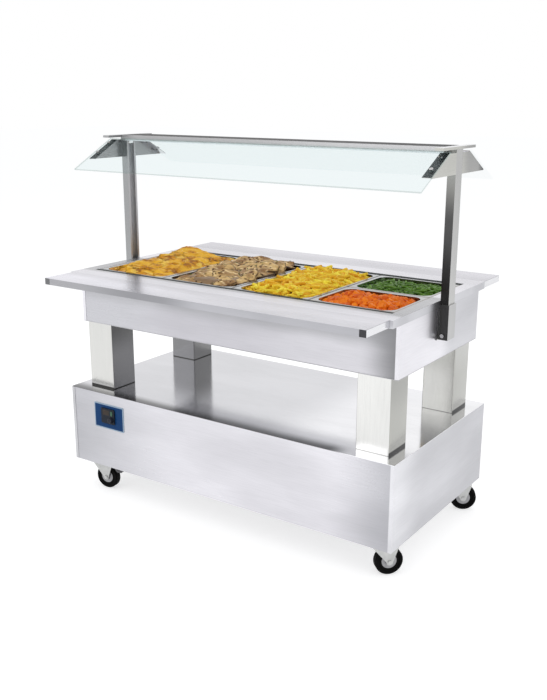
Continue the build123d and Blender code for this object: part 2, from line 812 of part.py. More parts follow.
lamp_z = rail_foot + lamp_cover_thick + lamp_holder
lamp_reach = rail_half - sheet - bolt_head - lamp_holder
with BuildPart() as lamp_tube:
    with BuildSketch(Plane.YZ.offset(-lamp_reach)):
        with Locations((0, lamp_z)):
            Circle(lamp_radius)
    extrude(amount=2 * lamp_reach)
    with BuildSketch(Plane.XY.offset(rail_foot + lamp_cover_thick)):
        with GridLocations(2 * lamp_reach - lamp_holder, 0, 2, 1):
            Rectangle(lamp_holder, 2 * lamp_holder)
    extrude(amount=rail_height - sheet - lamp_cover_thick)
save(lamp_tube.part, "lamp_tube")

# Breath guards: glass that slopes down and out on both long sides, and its end brackets
slope = math.radians(guard_slope)
guard_top_y = rail_width / 2 + guard_rail_gap
guard_top_z = post_top - guard_drop
guard_half = half_top + guard_overhang
gusset_foot = post_top - gusset_height
guard_plane = Plane(
    origin=(0, -guard_top_y, guard_top_z),
    x_dir=(1, 0, 0),
    z_dir=(0, -math.sin(slope), math.cos(slope)),
)
screw_x = post_inner_x + post_x - glass_screw_inset
screw_slants = [glass_screw_first, glass_screw_first + glass_screw_pitch]
screw_spots = [(side * screw_x, -s) for side in (-1, 1) for s in screw_slants]
with BuildPart() as glass_front:
    with BuildSketch(guard_plane):
        with Locations((0, -guard_slant / 2)):
            Rectangle(2 * guard_half, guard_slant)
        with Locations(*screw_spots):
            Circle(glass_screw_radius + glass_hole_gap, mode=Mode.SUBTRACT)
    extrude(amount=glass_thick)
save(glass_front.part, "glass_front")
save(mirrored(glass_front.part), "glass_rear")

gusset_x = post_inner_x + post_x
gusset_tip_y = -guard_top_y - gusset_reach
gusset_tip_z = guard_top_z - gusset_reach * math.tan(slope)
flange_drop = gusset_sheet / math.cos(slope)
flange_slant = gusset_reach / math.cos(slope)


def make_bracket(side):
    """Cross plate on the post and a flanged gusset front and rear, all on one end."""
    plate_plane = Plane.YZ.offset(side * gusset_x)
    with BuildPart() as gusset:
        with BuildSketch(plate_plane):
            with BuildLine():
                Polyline(
                    (-post_y / 2, gusset_foot),
                    (gusset_tip_y + sheet, gusset_foot),
                    (gusset_tip_y, gusset_tip_z - flange_drop),
                    (-guard_top_y, guard_top_z - flange_drop),
                    (-post_y / 2, guard_top_z - flange_drop),
                    close=True,
                )
            make_face()
        extrude(amount=-side * gusset_sheet)
        with BuildSketch(guard_plane):
            with Locations((side * (gusset_x - gusset_flange / 2), -flange_slant / 2)):
                Rectangle(gusset_flange, flange_slant)
            with Locations(*screw_spots):
                Circle(glass_screw_radius, mode=Mode.SUBTRACT)
        extrude(amount=-gusset_sheet)
    with BuildPart() as bracket:
        add(gusset.part)
        add(mirrored(gusset.part))
        with BuildSketch(Plane.XY.offset(post_top)):
            with Locations((side * post_centre, 0)):
                Rectangle(post_x, 2 * cross_plate_reach)
        extrude(amount=cross_plate_thick)
    return bracket.part


save(make_bracket(-1), "bracket_left")
save(make_bracket(1), "bracket_right")

# Fasteners: socket clamp bolts, rail bolts, clamp screws under the rail, glass and rear panel screws
with BuildPart() as glass_screws:
    for spot in screw_spots:
        with BuildSketch(guard_plane.offset(glass_thick)):
            with Locations(spot):
                Circle(glass_screw_head)
        extrude(amount=glass_screw_rise)
        with BuildSketch(guard_plane.offset(glass_thick)):
            with Locations(spot):
                Circle(glass_screw_radius)
        extrude(amount=-glass_thick - gusset_sheet)
        with BuildSketch(guard_plane.offset(-gusset_sheet)):
            with Locations(spot):
                RegularPolygon(2 * glass_screw_radius, 6)
        extrude(amount=-glass_screw_rise)
with BuildPart() as fasteners:
    add(glass_screws.part)
    add(mirrored(glass_screws.part))
    with BuildSketch(Plane.XZ.offset(socket_half_y)):
        with Locations((-post_centre, bolt_z), (post_centre, bolt_z)):
            Circle(bolt_head_radius)
    extrude(amount=bolt_head)
    with BuildSketch(Plane.XZ.offset(socket_half_y)):
        with Locations((-post_centre, bolt_z), (post_centre, bolt_z)):
            Circle(bolt_radius)
    extrude(amount=-socket_wall)
    for side in (-1, 1):
        with BuildSketch(Plane.YZ.offset(side * (rail_half - sheet))):
            with Locations((0, rail_bolt_z)):
                Circle(rail_bolt_head_radius)
        extrude(amount=-side * bolt_head)
        with BuildSketch(Plane.YZ.offset(side * (rail_half - sheet))):
            with Locations((0, rail_bolt_z)):
                Circle(rail_bolt_radius)
        extrude(amount=side * (sheet + post_wall))
        with BuildSketch(Plane.YZ.offset(side * (post_inner_x + post_wall))):
            with Locations((0, rail_bolt_z)):
                Rectangle(post_y - 2 * post_wall, 2 * rail_bolt_head_radius)
        extrude(amount=side * rail_nut_thick)
        with BuildSketch(Plane.YZ.offset(side * (post_inner_x + post_wall))):
            with Locations((0, post_top - clamp_screw_drop)):
                Rectangle(post_y - 2 * post_wall, 2 * clamp_screw_radius)
        extrude(amount=side * rail_nut_thick)
        with BuildSketch(Plane.YZ.offset(side * (post_inner_x + post_wall))):
            with Locations((clamp_screw_shift, post_top - clamp_screw_drop)):
                Circle(clamp_screw_radius)
        extrude(amount=-side * clamp_screw_head)
    with BuildSketch(rear_plane):
        with Locations((0, rear_middle)):
            with GridLocations(2 * rear_screw_x, 2 * rear_screw_z, 2, 2):
                Circle(rear_screw_head)
    extrude(amount=rear_screw_rise)
    with BuildSketch(rear_plane):
        with Locations((0, rear_middle)):
            with GridLocations(2 * rear_screw_x, 2 * rear_screw_z, 2, 2):
                Circle(rear_screw_radius)
    extrude(amount=-sheet)
save(fasteners.part, "fasteners")

# Control panel on the plinth front, with a pocketed control unit
panel_face = plinth_width / 2 - sheet
unit_x = panel_x + unit_offset_x
unit_z = panel_z + unit_offset_z
knob_x = unit_x + knob_offset_x
knob_z = unit_z + knob_offset_z
rocker_x = unit_x + rocker_offset_x
rocker_z = unit_z + rocker_offset_z
unit_back = panel_face + panel_thick
unit_face = unit_back + unit_thick
with BuildPart() as control_panel:
    with BuildSketch(Plane.XZ.offset(panel_face)):
        with Locations((panel_x, panel_z)):
            RectangleRounded(panel_width, panel_height, panel_corner)
    extrude(amount=panel_thick)
save(control_panel.part, "control_panel")

rocker_pivot = unit_face - rocker_thick / 2 + rocker_rise
pocket_depth = rocker_thick - rocker_rise + 3 * rocker_gap
with BuildPart() as control_unit:
    with BuildSketch(Plane.XZ.offset(unit_back)):
        with Locations((unit_x, unit_z)):
            RectangleRounded(unit_width, unit_height, unit_corner)
    extrude(amount=unit_thick)
    with BuildSketch(Plane.XZ.offset(unit_face)):
        with Locations((knob_x, knob_z)):
            Circle(knob_shaft_radius + hinge_fit)
    extrude(amount=-knob_shaft - touch_gap, mode=Mode.SUBTRACT)
    with BuildSketch(Plane.XZ.offset(unit_face)):
        with Locations((rocker_x, rocker_z)):
            Rectangle(rocker_width + 2 * touch_gap, rocker_height + 2 * rocker_gap)
    extrude(amount=-pocket_depth, mode=Mode.SUBTRACT)
    with BuildSketch(Plane.YZ.offset(rocker_x - rocker_width / 2 - rocker_pin - touch_gap)):
        with Locations((-rocker_pivot, rocker_z)):
            Circle(rocker_pin_radius + hinge_fit)
    extrude(amount=rocker_width + 2 * rocker_pin + 2 * touch_gap, mode=Mode.SUBTRACT)
save(control_unit.part, "control_unit")

# Thermostat knob with a pointer notch, turning about Y
with BuildPart() as thermostat_knob:
    with BuildSketch(Plane.XZ.offset(unit_face + touch_gap)):
        with Locations((knob_x, knob_z)):
            Circle(knob_radius)
    extrude(amount=knob_height)
    chamfer(thermostat_knob.faces().sort_by(Axis.Y)[0].edges(), 1)
    with BuildSketch(Plane.XZ.offset(unit_face + touch_gap + knob_height)):
        with Locations((knob_x, knob_z + knob_radius / 2)):
            Rectangle(knob_notch, knob_radius)
    extrude(amount=-knob_notch, mode=Mode.SUBTRACT)
    with BuildSketch(Plane.XZ.offset(unit_face + touch_gap)):
        with Locations((knob_x, knob_z)):
            Circle(knob_shaft_radius)
    extrude(amount=-knob_shaft)
save(thermostat_knob.part, "thermostat_knob")

# Lit power rocker on two small pins
with BuildPart() as power_rocker:
    with BuildSketch(Plane.YZ.offset(rocker_x - rocker_width / 2)):
        with Locations((-rocker_pivot, rocker_z)):
            Rectangle(rocker_thick, rocker_height)
    extrude(amount=rocker_width)
    with BuildSketch(Plane.YZ.offset(rocker_x - rocker_width / 2 - rocker_pin)):
        with Locations((-rocker_pivot, rocker_z)):
            Circle(rocker_pin_radius)
    extrude(amount=rocker_width + 2 * rocker_pin)
save(power_rocker.part, "power_rocker")

# Cable gland through the rear panel
gland_plane = Plane(origin=(gland_x, plinth_width / 2, gland_z), x_dir=(-1, 0, 0), z_dir=(0, 1, 0))
with BuildPart() as cable_gland:
    with BuildSketch(gland_plane.offset(-sheet)):
        RegularPolygon(gland_nut, 6)
    extrude(amount=gland_nut_thick)
    with BuildSketch(gland_plane.offset(-sheet)):
        Circle(gland_thread)
    extrude(amount=gland_reach)
    with BuildSketch(gland_plane.offset(-sheet)):
        Circle(gland_thread)
    extrude(amount=-sheet - gland_nut_thick)
    with BuildSketch(gland_plane.offset(-2 * sheet)):
        RegularPolygon(gland_nut, 6)
    extrude(amount=-gland_nut_thick + sheet)
    with BuildSketch(gland_plane.offset(gland_reach)):
        Circle(gland_bore)
    extrude(amount=-2 * gland_reach, mode=Mode.SUBTRACT)
save(cable_gland.part, "cable_gland")

# Castor top plates with the fixed race and the bolt heads
plate_foot = castor_height - castor_plate_thick
race_foot = plate_foot - castor_race
castor_spots = {
    "fl": (-castor_x, -castor_y),
    "fr": (castor_x, -castor_y),
    "rl": (-castor_x, castor_y),
    "rr": (castor_x, castor_y),
}
with BuildPart() as castor_plates:
    for spot in castor_spots.values():
        with BuildSketch(Plane.XY.offset(plate_foot)):
            with Locations(spot):
                RectangleRounded(castor_plate_x, castor_plate_y, castor_bolt_head)
        extrude(amount=castor_plate_thick)
        with BuildSketch(Plane.XY.offset(race_foot)):
            with Locations(spot):
                Circle(castor_race_radius)
        extrude(amount=castor_race)
        with BuildSketch(Plane.XY.offset(plate_foot)):
            with Locations(spot):
                bolt_pitch_x = castor_plate_x - 2 * castor_bolt_margin
                bolt_pitch_y = castor_plate_y - 2 * castor_bolt_margin
                with GridLocations(bolt_pitch_x, bolt_pitch_y, 2, 2):
                    RegularPolygon(castor_bolt_head, 6)
        extrude(amount=-castor_bolt_rise)
        with BuildSketch(Plane.XY.offset(race_foot)):
            with Locations(spot):
                Circle(kingpin_radius + hinge_fit)
        extrude(amount=castor_race + castor_plate_thick - sheet, mode=Mode.SUBTRACT)
save(castor_plates.part, "castor_plates")

# Castors: pressed fork with kingpin and axle, wheel with tyre, brake pedal
crown_top = race_foot - touch_gap
cheek_gap = wheel_width / 2 + 2 * hub_gap
wheel_z = wheel_radius
pedal_x = castor_trail + pedal_pivot
pedal_z = crown_top - fork_crown - pedal_pin_radius * 2
kingpin_reach = castor_race + castor_plate_thick - 2 * sheet


def castor_frame(name):
    """Plane at a swivel axis on the floor, its X along the trail."""
    angle = math.radians(castor_angles[name])
    spot = castor_spots[name]
    return Plane(origin=(spot[0], spot[1], 0), x_dir=(math.cos(angle), math.sin(angle), 0), z_dir=(0, 0, 1))


def side_frame(base, offset):
    """Plane across a castor, X along the trail and Y up, moved sideways by offset."""
    moved = base.origin + base.y_dir * offset
    return Plane(origin=moved, x_dir=base.x_dir, z_dir=base.y_dir * -1)


def make_fork(name):
    base = castor_frame(name)
    with BuildPart() as fork:
        with BuildSketch(base.offset(crown_top - fork_crown)):
            with Locations(((pedal_x - castor_race_radius) / 2 + pedal_pin_radius, 0)):
                crown_length = pedal_x + castor_race_radius + 2 * pedal_pin_radius
                Rectangle(crown_length, 2 * (cheek_gap + fork_cheek))
        extrude(amount=fork_crown)
        with BuildSketch(base.offset(crown_top)):
            Circle(kingpin_radius)
        extrude(amount=kingpin_reach)
        for side in (-1, 1):
            start = side_frame(base, side * cheek_gap)
            with BuildSketch(start):
                with BuildLine():
                    Polyline(
                        (-castor_race_radius, crown_top - fork_crown),
                        (castor_trail - fork_eye, wheel_z),
                        (castor_trail + fork_eye, wheel_z),
                        (pedal_x + 2 * pedal_pin_radius, pedal_z - 2 * pedal_pin_radius),
                        (pedal_x + 2 * pedal_pin_radius, crown_top - fork_crown),
                        close=True,
                    )
                make_face()
                with Locations((castor_trail, wheel_z)):
                    Circle(fork_eye)
            extrude(amount=-side * fork_cheek)
            with BuildSketch(start.offset(-side * fork_cheek)):
                with Locations((castor_trail, wheel_z)):
                    RegularPolygon(axle_head, 6)
            extrude(amount=-side * axle_head_thick)
        with BuildSketch(side_frame(base, -cheek_gap)):
            with Locations((castor_trail, wheel_z)):
                Circle(axle_radius)
        extrude(amount=-2 * cheek_gap)
        for side in (-1, 1):
            with BuildSketch(side_frame(base, side * (cheek_gap + fork_cheek))):
                with Locations((pedal_x, pedal_z)):
                    Circle(pedal_pin_radius + hinge_fit)
            extrude(amount=side * fork_cheek, mode=Mode.SUBTRACT)
    return fork.part


def make_wheel(name):
    base = castor_frame(name)
    centre = base.origin + base.x_dir * castor_trail + base.z_dir * wheel_z
    half = wheel_width / 2
    rim = wheel_radius - tyre_depth
    section = Plane(origin=centre, x_dir=base.y_dir, z_dir=base.x_dir)
    with BuildPart() as wheel:
        with BuildSketch(section):
            with BuildLine():
                Polyline(
                    (-half - hub_gap, axle_radius + hinge_fit),
                    (half + hub_gap, axle_radius + hinge_fit),
                    (half + hub_gap, hub_radius),
                    (half - 4 * hub_gap, hub_radius + hub_gap),
                    (half - 4 * hub_gap, rim - 2 * hub_gap),
                    (half - hub_gap, rim),
                    (half, wheel_radius - 4 * hub_gap),
                    (half - 5 * hub_gap, wheel_radius),
                    (-half + 5 * hub_gap, wheel_radius),
                    (-half, wheel_radius - 4 * hub_gap),
                    (-half + hub_gap, rim),
                    (-half + 4 * hub_gap, rim - 2 * hub_gap),
                    (-half + 4 * hub_gap, hub_radius + hub_gap),
                    (-half - hub_gap, hub_radius),
                    close=True,
                )
            make_face()
        revolve(axis=Axis(centre, base.y_dir))
    return wheel.part


def make_pedal(name):
    base = castor_frame(name)
    with BuildPart() as pedal:
        with BuildSketch(side_frame(base, -pedal_width / 2)):
            with BuildLine():
                Polyline(
                    (pedal_x - pedal_pin_radius, pedal_z + pedal_pin_radius),
                    (pedal_x - pedal_pin_radius, pedal_z - pedal_pin_radius / 2),
                    (pedal_x + pedal_pin_radius, pedal_z - pedal_pin_radius),
                    (pedal_x + pedal_bend, pedal_z - pedal_drop),
                    (pedal_x + pedal_reach, pedal_z - pedal_drop),
                    (pedal_x + pedal_reach, pedal_z - pedal_drop + pedal_thick),
                    (pedal_x + pedal_bend + pedal_pin_radius, pedal_z - pedal_drop + pedal_thick),
                    (pedal_x + pedal_thick + pedal_pin_radius, pedal_z + pedal_pin_radius),
                    close=True,
                )
            make_face()
        extrude(amount=-pedal_width)
        pin_half = cheek_gap + fork_cheek
        with BuildSketch(side_frame(base, -pin_half)):
            with Locations((pedal_x, pedal_z)):
                Circle(pedal_pin_radius)
        extrude(amount=-2 * pin_half)
    return pedal.part


for castor in castor_spots:
    save(make_fork(castor), "fork_" + castor)
    save(make_wheel(castor), "wheel_" + castor)
for castor in ("fl", "rl"):
    save(make_pedal(castor), "pedal_" + castor)
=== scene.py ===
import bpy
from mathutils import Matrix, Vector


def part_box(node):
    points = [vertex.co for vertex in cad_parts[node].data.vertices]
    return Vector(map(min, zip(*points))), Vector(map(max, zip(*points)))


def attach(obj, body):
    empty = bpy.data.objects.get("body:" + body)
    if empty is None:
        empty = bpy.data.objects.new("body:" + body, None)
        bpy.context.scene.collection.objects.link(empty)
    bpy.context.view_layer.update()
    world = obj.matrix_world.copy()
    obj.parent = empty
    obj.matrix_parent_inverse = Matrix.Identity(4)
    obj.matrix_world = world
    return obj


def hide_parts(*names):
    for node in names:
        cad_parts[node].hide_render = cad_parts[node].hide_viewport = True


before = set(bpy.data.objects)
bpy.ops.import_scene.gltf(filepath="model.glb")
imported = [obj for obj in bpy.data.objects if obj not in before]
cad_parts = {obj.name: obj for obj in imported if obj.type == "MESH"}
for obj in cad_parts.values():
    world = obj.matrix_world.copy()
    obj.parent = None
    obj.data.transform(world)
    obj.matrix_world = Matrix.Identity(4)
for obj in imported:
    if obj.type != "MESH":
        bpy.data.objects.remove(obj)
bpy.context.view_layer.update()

import math
import random

import bmesh
import bpy
from mathutils import Matrix, Vector, noise

# Studio: the counter stands on a plain pale floor under three soft boxes and a soft sky.
# The camera stands off the right front corner, a little above the lamp rail, with a lens of
# about 47 mm on a 36 mm long side, solved from the worktop, pan and plinth corners.
def put(name, data):
    """A new object at the origin, in the scene."""
    made = bpy.data.objects.new(name, data)
    bpy.context.scene.collection.objects.link(made)
    return made


camera_place = Vector((1.9421, -2.8326, 1.5890))
camera_yaw, camera_pitch, camera_roll = (math.radians(a) for a in (34.380, -15.790, 0.100))
camera_data = bpy.data.cameras.new("studio_camera")
camera_data.lens = 47.07
camera_data.sensor_width = 36
camera = put("studio_camera", camera_data)
ahead = Vector((
    -math.sin(camera_yaw) * math.cos(camera_pitch),
    math.cos(camera_yaw) * math.cos(camera_pitch),
    math.sin(camera_pitch),
))
level_right = Vector((math.cos(camera_yaw), math.sin(camera_yaw), 0))
level_up = level_right.cross(ahead)
right = level_right * math.cos(camera_roll) + level_up * math.sin(camera_roll)
up = level_up * math.cos(camera_roll) - level_right * math.sin(camera_roll)
camera.matrix_world = Matrix((
    (right.x, up.x, -ahead.x, camera_place.x),
    (right.y, up.y, -ahead.y, camera_place.y),
    (right.z, up.z, -ahead.z, camera_place.z),
    (0, 0, 0, 1),
))
bpy.context.scene.camera = camera
bpy.context.scene.view_settings.view_transform = "Standard"


class Wire:
    """A shader value that Python's arithmetic extends by Math nodes."""

    def __init__(self, finish, socket):
        self.finish = finish
        self.socket = socket

    def math(self, operation, *values):
        made = self.finish.node("ShaderNodeMath", operation=operation)
        for slot, value in zip(made.inputs, values):
            self.finish.feed(slot, value)
        return Wire(self.finish, made.outputs[0])

    def __add__(self, other):
        return self.math("ADD", self, other)

    def __radd__(self, other):
        return self.math("ADD", other, self)

    def __sub__(self, other):
        return self.math("SUBTRACT", self, other)

    def __rsub__(self, other):
        return self.math("SUBTRACT", other, self)

    def __mul__(self, other):
        return self.math("MULTIPLY", self, other)

    def __rmul__(self, other):
        return self.math("MULTIPLY", other, self)

    def __abs__(self):
        return self.math("ABSOLUTE", self)


class Graph:
    """A node tree under construction."""

    def __init__(self, tree):
        self.tree = tree
        tree.nodes.clear()

    def feed(self, socket, value):
        if isinstance(value, Wire):
            self.tree.links.new(value.socket, socket)
        elif isinstance(value, bpy.types.NodeSocket):
            self.tree.links.new(value, socket)
        else:
            socket.default_value = value

    def node(self, kind, sockets=(), **settings):
        made = self.tree.nodes.new(kind)
        for name, value in settings.items():
            setattr(made, name, value)
        for name, value in dict(sockets).items():
            self.feed(made.inputs[name], value)
        return made


class Finish(Graph):
    """One material under construction, with a Principled skin."""

    def __init__(self, name):
        self.material = bpy.data.materials.new(name)
        self.material.use_nodes = True
        super().__init__(self.material.node_tree)
        self.output = self.node("ShaderNodeOutputMaterial")
        self.skin = self.node("ShaderNodeBsdfPrincipled")
        self.show(self.skin.outputs["BSDF"])
        self.place = self.node("ShaderNodeTexCoord").outputs["Object"]

    def show(self, shader):
        self.feed(self.output.inputs["Surface"], shader)

    def set(self, **values):
        for name, value in values.items():
            self.feed(self.skin.inputs[name.replace("_", " ")], value)
        return self

    def stretched(self, scale):
        return self.node("ShaderNodeMapping", {"Vector": self.place, "Scale": scale}).outputs[0]

    def noise(self, scale, detail=3, stretch=(1, 1, 1)):
        sockets = {"Vector": self.stretched(stretch), "Scale": scale, "Detail": detail}
        return Wire(self, self.node("ShaderNodeTexNoise", sockets).outputs[0])

    def axis(self, letter):
        made = self.node("ShaderNodeSeparateXYZ", {"Vector": self.place})
        return Wire(self, made.outputs[letter])

    def ramp(self, value, low, high):
        sockets = {"Value": value, "From Min": low, "From Max": high}
        made = self.node("ShaderNodeMapRange", sockets, interpolation_type="SMOOTHSTEP")
        return Wire(self, made.outputs[0])

    def mix(self, factor, first, second):
        made = self.node("ShaderNodeMix", data_type="RGBA")
        for index, value in ((0, factor), (6, first), (7, second)):
            value = (*value, 1) if isinstance(value, tuple) and len(value) == 3 else value
            self.feed(made.inputs[index], value)
        return made.outputs[2]

    def bump(self, height, distance):
        made = self.node("ShaderNodeBump", {"Height": height, "Distance": distance, "Strength": 1.0})
        self.feed(self.skin.inputs["Normal"], made.outputs[0])
        return self


def seen_directly(graph):
    """1 or more where the camera, a mirror or glass looks straight at a surface, else 0."""
    path = graph.node("ShaderNodeLightPath")
    by_camera, by_mirror, by_glass = (
        Wire(graph, path.outputs["Is " + way + " Ray"]) for way in ("Camera", "Glossy", "Transmission")
    )
    return by_camera + by_mirror + by_glass


floor_reach = 30
floor_mesh = bpy.data.meshes.new("studio_floor")
floor_corners = [(x * floor_reach, y * floor_reach, 0) for x, y in ((-1, -1), (1, -1), (1, 1), (-1, 1))]
floor_mesh.from_pydata(floor_corners, [], [(0, 1, 2, 3)])
floor = put("studio_floor", floor_mesh)
floor_paint = Finish("studio_floor_paint")
floor_paint.set(Base_Color=(0.62, 0.62, 0.62, 1), Roughness=0.9, Specular_IOR_Level=0.0)
painted = floor_paint.skin.outputs[0]
glow = floor_paint.node("ShaderNodeEmission", {"Color": (1, 1, 1, 1), "Strength": 0.62})
both = floor_paint.node("ShaderNodeAddShader", {0: painted, 1: glow.outputs[0]})
seen = seen_directly(floor_paint)
blend = floor_paint.node("ShaderNodeMixShader", {0: seen, 1: painted, 2: both.outputs[0]})
floor_paint.show(blend.outputs[0])
floor_mesh.materials.append(floor_paint.material)

sky = bpy.data.worlds.new("studio_sky")
sky.use_nodes = True
bpy.context.scene.world = sky
heaven = Graph(sky.node_tree)
soft = heaven.node("ShaderNodeBackground", {"Color": (0.97, 0.98, 1.0, 1), "Strength": 0.62})
white = heaven.node("ShaderNodeBackground", {"Color": (1, 1, 1, 1), "Strength": 1.0})
seen = seen_directly(heaven)
shown = heaven.node("ShaderNodeMixShader", {0: seen, 1: soft.outputs[0], 2: white.outputs[0]})
heaven.node("ShaderNodeOutputWorld", {"Surface": shown.outputs[0]})

for lamp_name, place, size, power in (
    ("soft_box_left", (-2.6, -3.4, 3.6), 4.6, 60),
    ("soft_box_right", (3.8, -1.0, 3.0), 3.6, 28),
    ("soft_box_top", (0.2, 0.6, 3.9), 6.0, 46),
):
    lamp_data = bpy.data.lights.new(lamp_name, "AREA")
    lamp_data.size = size
    lamp_data.energy = power
    lamp = put(lamp_name, lamp_data)
    lamp.location = place
    lamp.rotation_euler = (Vector((0, 0, 0.8)) - Vector(place)).to_track_quat("-Z", "Y").to_euler()


# Plinth: a long box of folded and brushed stainless sheet. The end panels wrap a narrow flange
# round onto the front and the rear, and a polished cover lies on the four walls.
# Its grain runs along the length, and every fold has a small bend radius.
def steel(name, tint, *fades, rough=0.3, grain=(2, 90, 90), relief=0.00002, clouds=0.2, glance=1.0):
    """Brushed stainless: streaks along the rolling direction, soft clouds and fine scratches.

    Each fade is an axis, where it starts, where it ends and the tint that it reaches. The fades
    paint light, shade and reflections across a piece, except the heater's, which is its heat tint.
    """
    finish = Finish(name)
    streak = finish.noise(3.2, 4, tuple(2.2 * g for g in grain))
    fine = finish.noise(14, 2, tuple(5 * g for g in grain))
    smear = finish.noise(2.1, 3, tuple(0.6 + g / 60 for g in grain))
    colour = tint
    for letter, start, end, reached in fades:
        blurred = finish.axis(letter) + (smear - 0.5) * (abs(end - start) * 0.5)
        colour = finish.mix(finish.ramp(blurred, start, end), colour, reached)
    if isinstance(colour, tuple):
        colour = (*colour, 1)
    cloudy = finish.mix(finish.ramp(smear, 0.38, 0.68) * clouds, colour, (0.14, 0.14, 0.15))
    dull = finish.mix(finish.ramp(streak, 0.35, 0.75) * 0.08, cloudy, (0.16, 0.16, 0.17))
    wander = min(0.10, rough / 2)
    gloss = rough + (streak - 0.5) * wander + (smear - 0.5) * wander
    finish.set(Base_Color=dull, Metallic=1.0, Roughness=gloss, Specular_Tint=(glance, glance, glance, 1))
    return finish.bump(streak + fine * 0.6, relief).material


fold_angle = math.radians(38)


def folded_copy(node, body, finish, fold, flat=1.0, sides=(), slim=0.0):
    """A merged copy of a sheet-metal piece with its folds rounded off.

    Each side is a test of a face's outward direction and middle, and the finish it takes.
    """
    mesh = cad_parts[node].data.copy()
    mesh.materials.clear()
    for coat in (finish, *(coat for _, coat in sides)):
        mesh.materials.append(coat)
    shape = bmesh.new()
    shape.from_mesh(mesh)
    bmesh.ops.remove_doubles(shape, verts=shape.verts, dist=0.000002)
    bmesh.ops.dissolve_limit(shape, angle_limit=math.radians(flat), verts=shape.verts, edges=shape.edges)
    shape.normal_update()
    if slim:
        for vert in shape.verts:
            vert.co -= vert.normal * slim
    for face in shape.faces:
        face.smooth = True
        face.material_index = 0
        middle = face.calc_center_median()
        for index, (test, _) in enumerate(sides):
            if test(face.normal, middle):
                face.material_index = index + 1
                break
    shape.to_mesh(mesh)
    shape.free()
    mesh.set_sharp_from_angle(angle=fold_angle)
    piece = put(node + "_piece", mesh)
    bend = piece.modifiers.new("fold_radius", "BEVEL")
    bend.width = fold
    bend.segments = 2
    bend.limit_method = "ANGLE"
    bend.angle_limit = fold_angle
    bend.use_clamp_overlap = True
    bend.harden_normals = True
    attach(piece, body)
    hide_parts(node)


def repaint(node, finish):
    """A CAD piece keeps its mesh and takes a finish."""
    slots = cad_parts[node].data.materials
    slots.clear()
    slots.append(finish)


def looks(letter, sign, at_least=0.7):
    """A test for faces that look along an axis."""
    index = "XYZ".index(letter)
    return lambda normal, middle: normal[index] * sign > at_least


# Painted light and shade: the front is lighter in its middle and darker at its right end; the ends are
# darker behind their front flanges and at the left end; the cover is lighter towards the right as a painted
# reflection, and dark along its front edge as painted shade.
front_steel = steel(
    "plinth_front_brushed", (0.54, 0.54, 0.57),
    ("X", -0.70, -0.10, (0.77, 0.76, 0.80)), ("X", 0.46, 0.73, (0.49, 0.49, 0.52)),
)
end_steel = steel(
    "plinth_end_brushed", (0.78, 0.78, 0.81), ("Y", -0.37, -0.12, (0.62, 0.62, 0.65)),
    ("Y", 0.02, 0.36, (0.58, 0.58, 0.61)), ("X", -0.60, -0.70, (0.58, 0.58, 0.60)), grain=(90, 2, 90),
)
cover_steel = steel(
    "plinth_cover_polished", (0.70, 0.70, 0.73), ("X", 0.12, 0.40, (0.92, 0.92, 0.95)),
    ("Y", -0.30, -0.37, (0.13, 0.13, 0.135)), ("X", 0.47, 0.56, (0.92, 0.92, 0.94)),
    rough=0.12, relief=0.000008, clouds=0.10,
)
rear_steel = steel("plinth_rear_brushed", (0.56, 0.56, 0.58))
folded_copy("plinth_front", "frame", front_steel, 0.0004)
folded_copy("plinth_ends", "frame", end_steel, 0.0007)
folded_copy("plinth_top", "frame", cover_steel, 0.0008)
folded_copy("plinth_rear_panel", "frame", rear_steel, 0.0004)
repaint("plinth_floor", rear_steel)

# Legs: four square tubes folded from brushed sheet with the grain upright, welded to foot plates
# that are screwed down on the plinth cover. Each leg carries a painted shadow line at its foot,
# and its front and side take their own tints, lighter or darker towards the top, as painted light
# and shade.
leg_steel = steel("leg_brushed", (0.52, 0.51, 0.50), grain=(90, 90, 2), rough=0.24)
leg_faces = []
for leg, x_sign, y_sign, front_tint, front_foot_shadow, side_tint, side_head, side_foot_shadow in (
    ("front_left", -1, -1, (0.65, 0.65, 0.63), 0.445, (0.255, 0.255, 0.26), (0.11, 0.11, 0.11), 0.440),
    ("front_right", 1, -1, (0.80, 0.80, 0.78), 0.438, (0.46, 0.46, 0.43), (0.38, 0.38, 0.36), 0.448),
    ("rear_left", -1, 1, (0.225, 0.225, 0.23), 0.440, (0.22, 0.22, 0.22), (0.50, 0.50, 0.51), 0.440),
    ("rear_right", 1, 1, (0.48, 0.48, 0.455), 0.438, (0.45, 0.45, 0.425), (0.52, 0.52, 0.50), 0.447),
):
    front_head = (0.50, 0.50, 0.51) if leg == "rear_left" else front_tint
    # Painted light and shade for this leg's front and side, with a painted shadow line at the foot.
    front = steel(
        "leg_front_of_" + leg, front_tint, ("Z", 0.56, 0.69, front_head),
        ("Z", front_foot_shadow + 0.002, front_foot_shadow - 0.002, (0.045, 0.045, 0.042)),
        grain=(90, 90, 2), rough=0.22, clouds=0.12,
    )
    side = steel(
        "leg_side_of_" + leg, side_tint, ("Z", 0.56, 0.69, side_head),
        ("Z", side_foot_shadow + 0.002, side_foot_shadow - 0.002, (0.03, 0.03, 0.028)),
        grain=(90, 90, 2), rough=0.22, clouds=0.12,
    )

    def at_leg(middle, x_sign=x_sign, y_sign=y_sign):
        return middle.x * x_sign > 0 and middle.y * y_sign > 0

    leg_faces.append((lambda normal, middle, at_leg=at_leg: normal.y < -0.7 and at_leg(middle), front))
    leg_faces.append((lambda normal, middle, at_leg=at_leg: normal.x > 0.7 and at_leg(middle), side))
folded_copy("legs", "frame", leg_steel, 0.0006, sides=leg_faces)
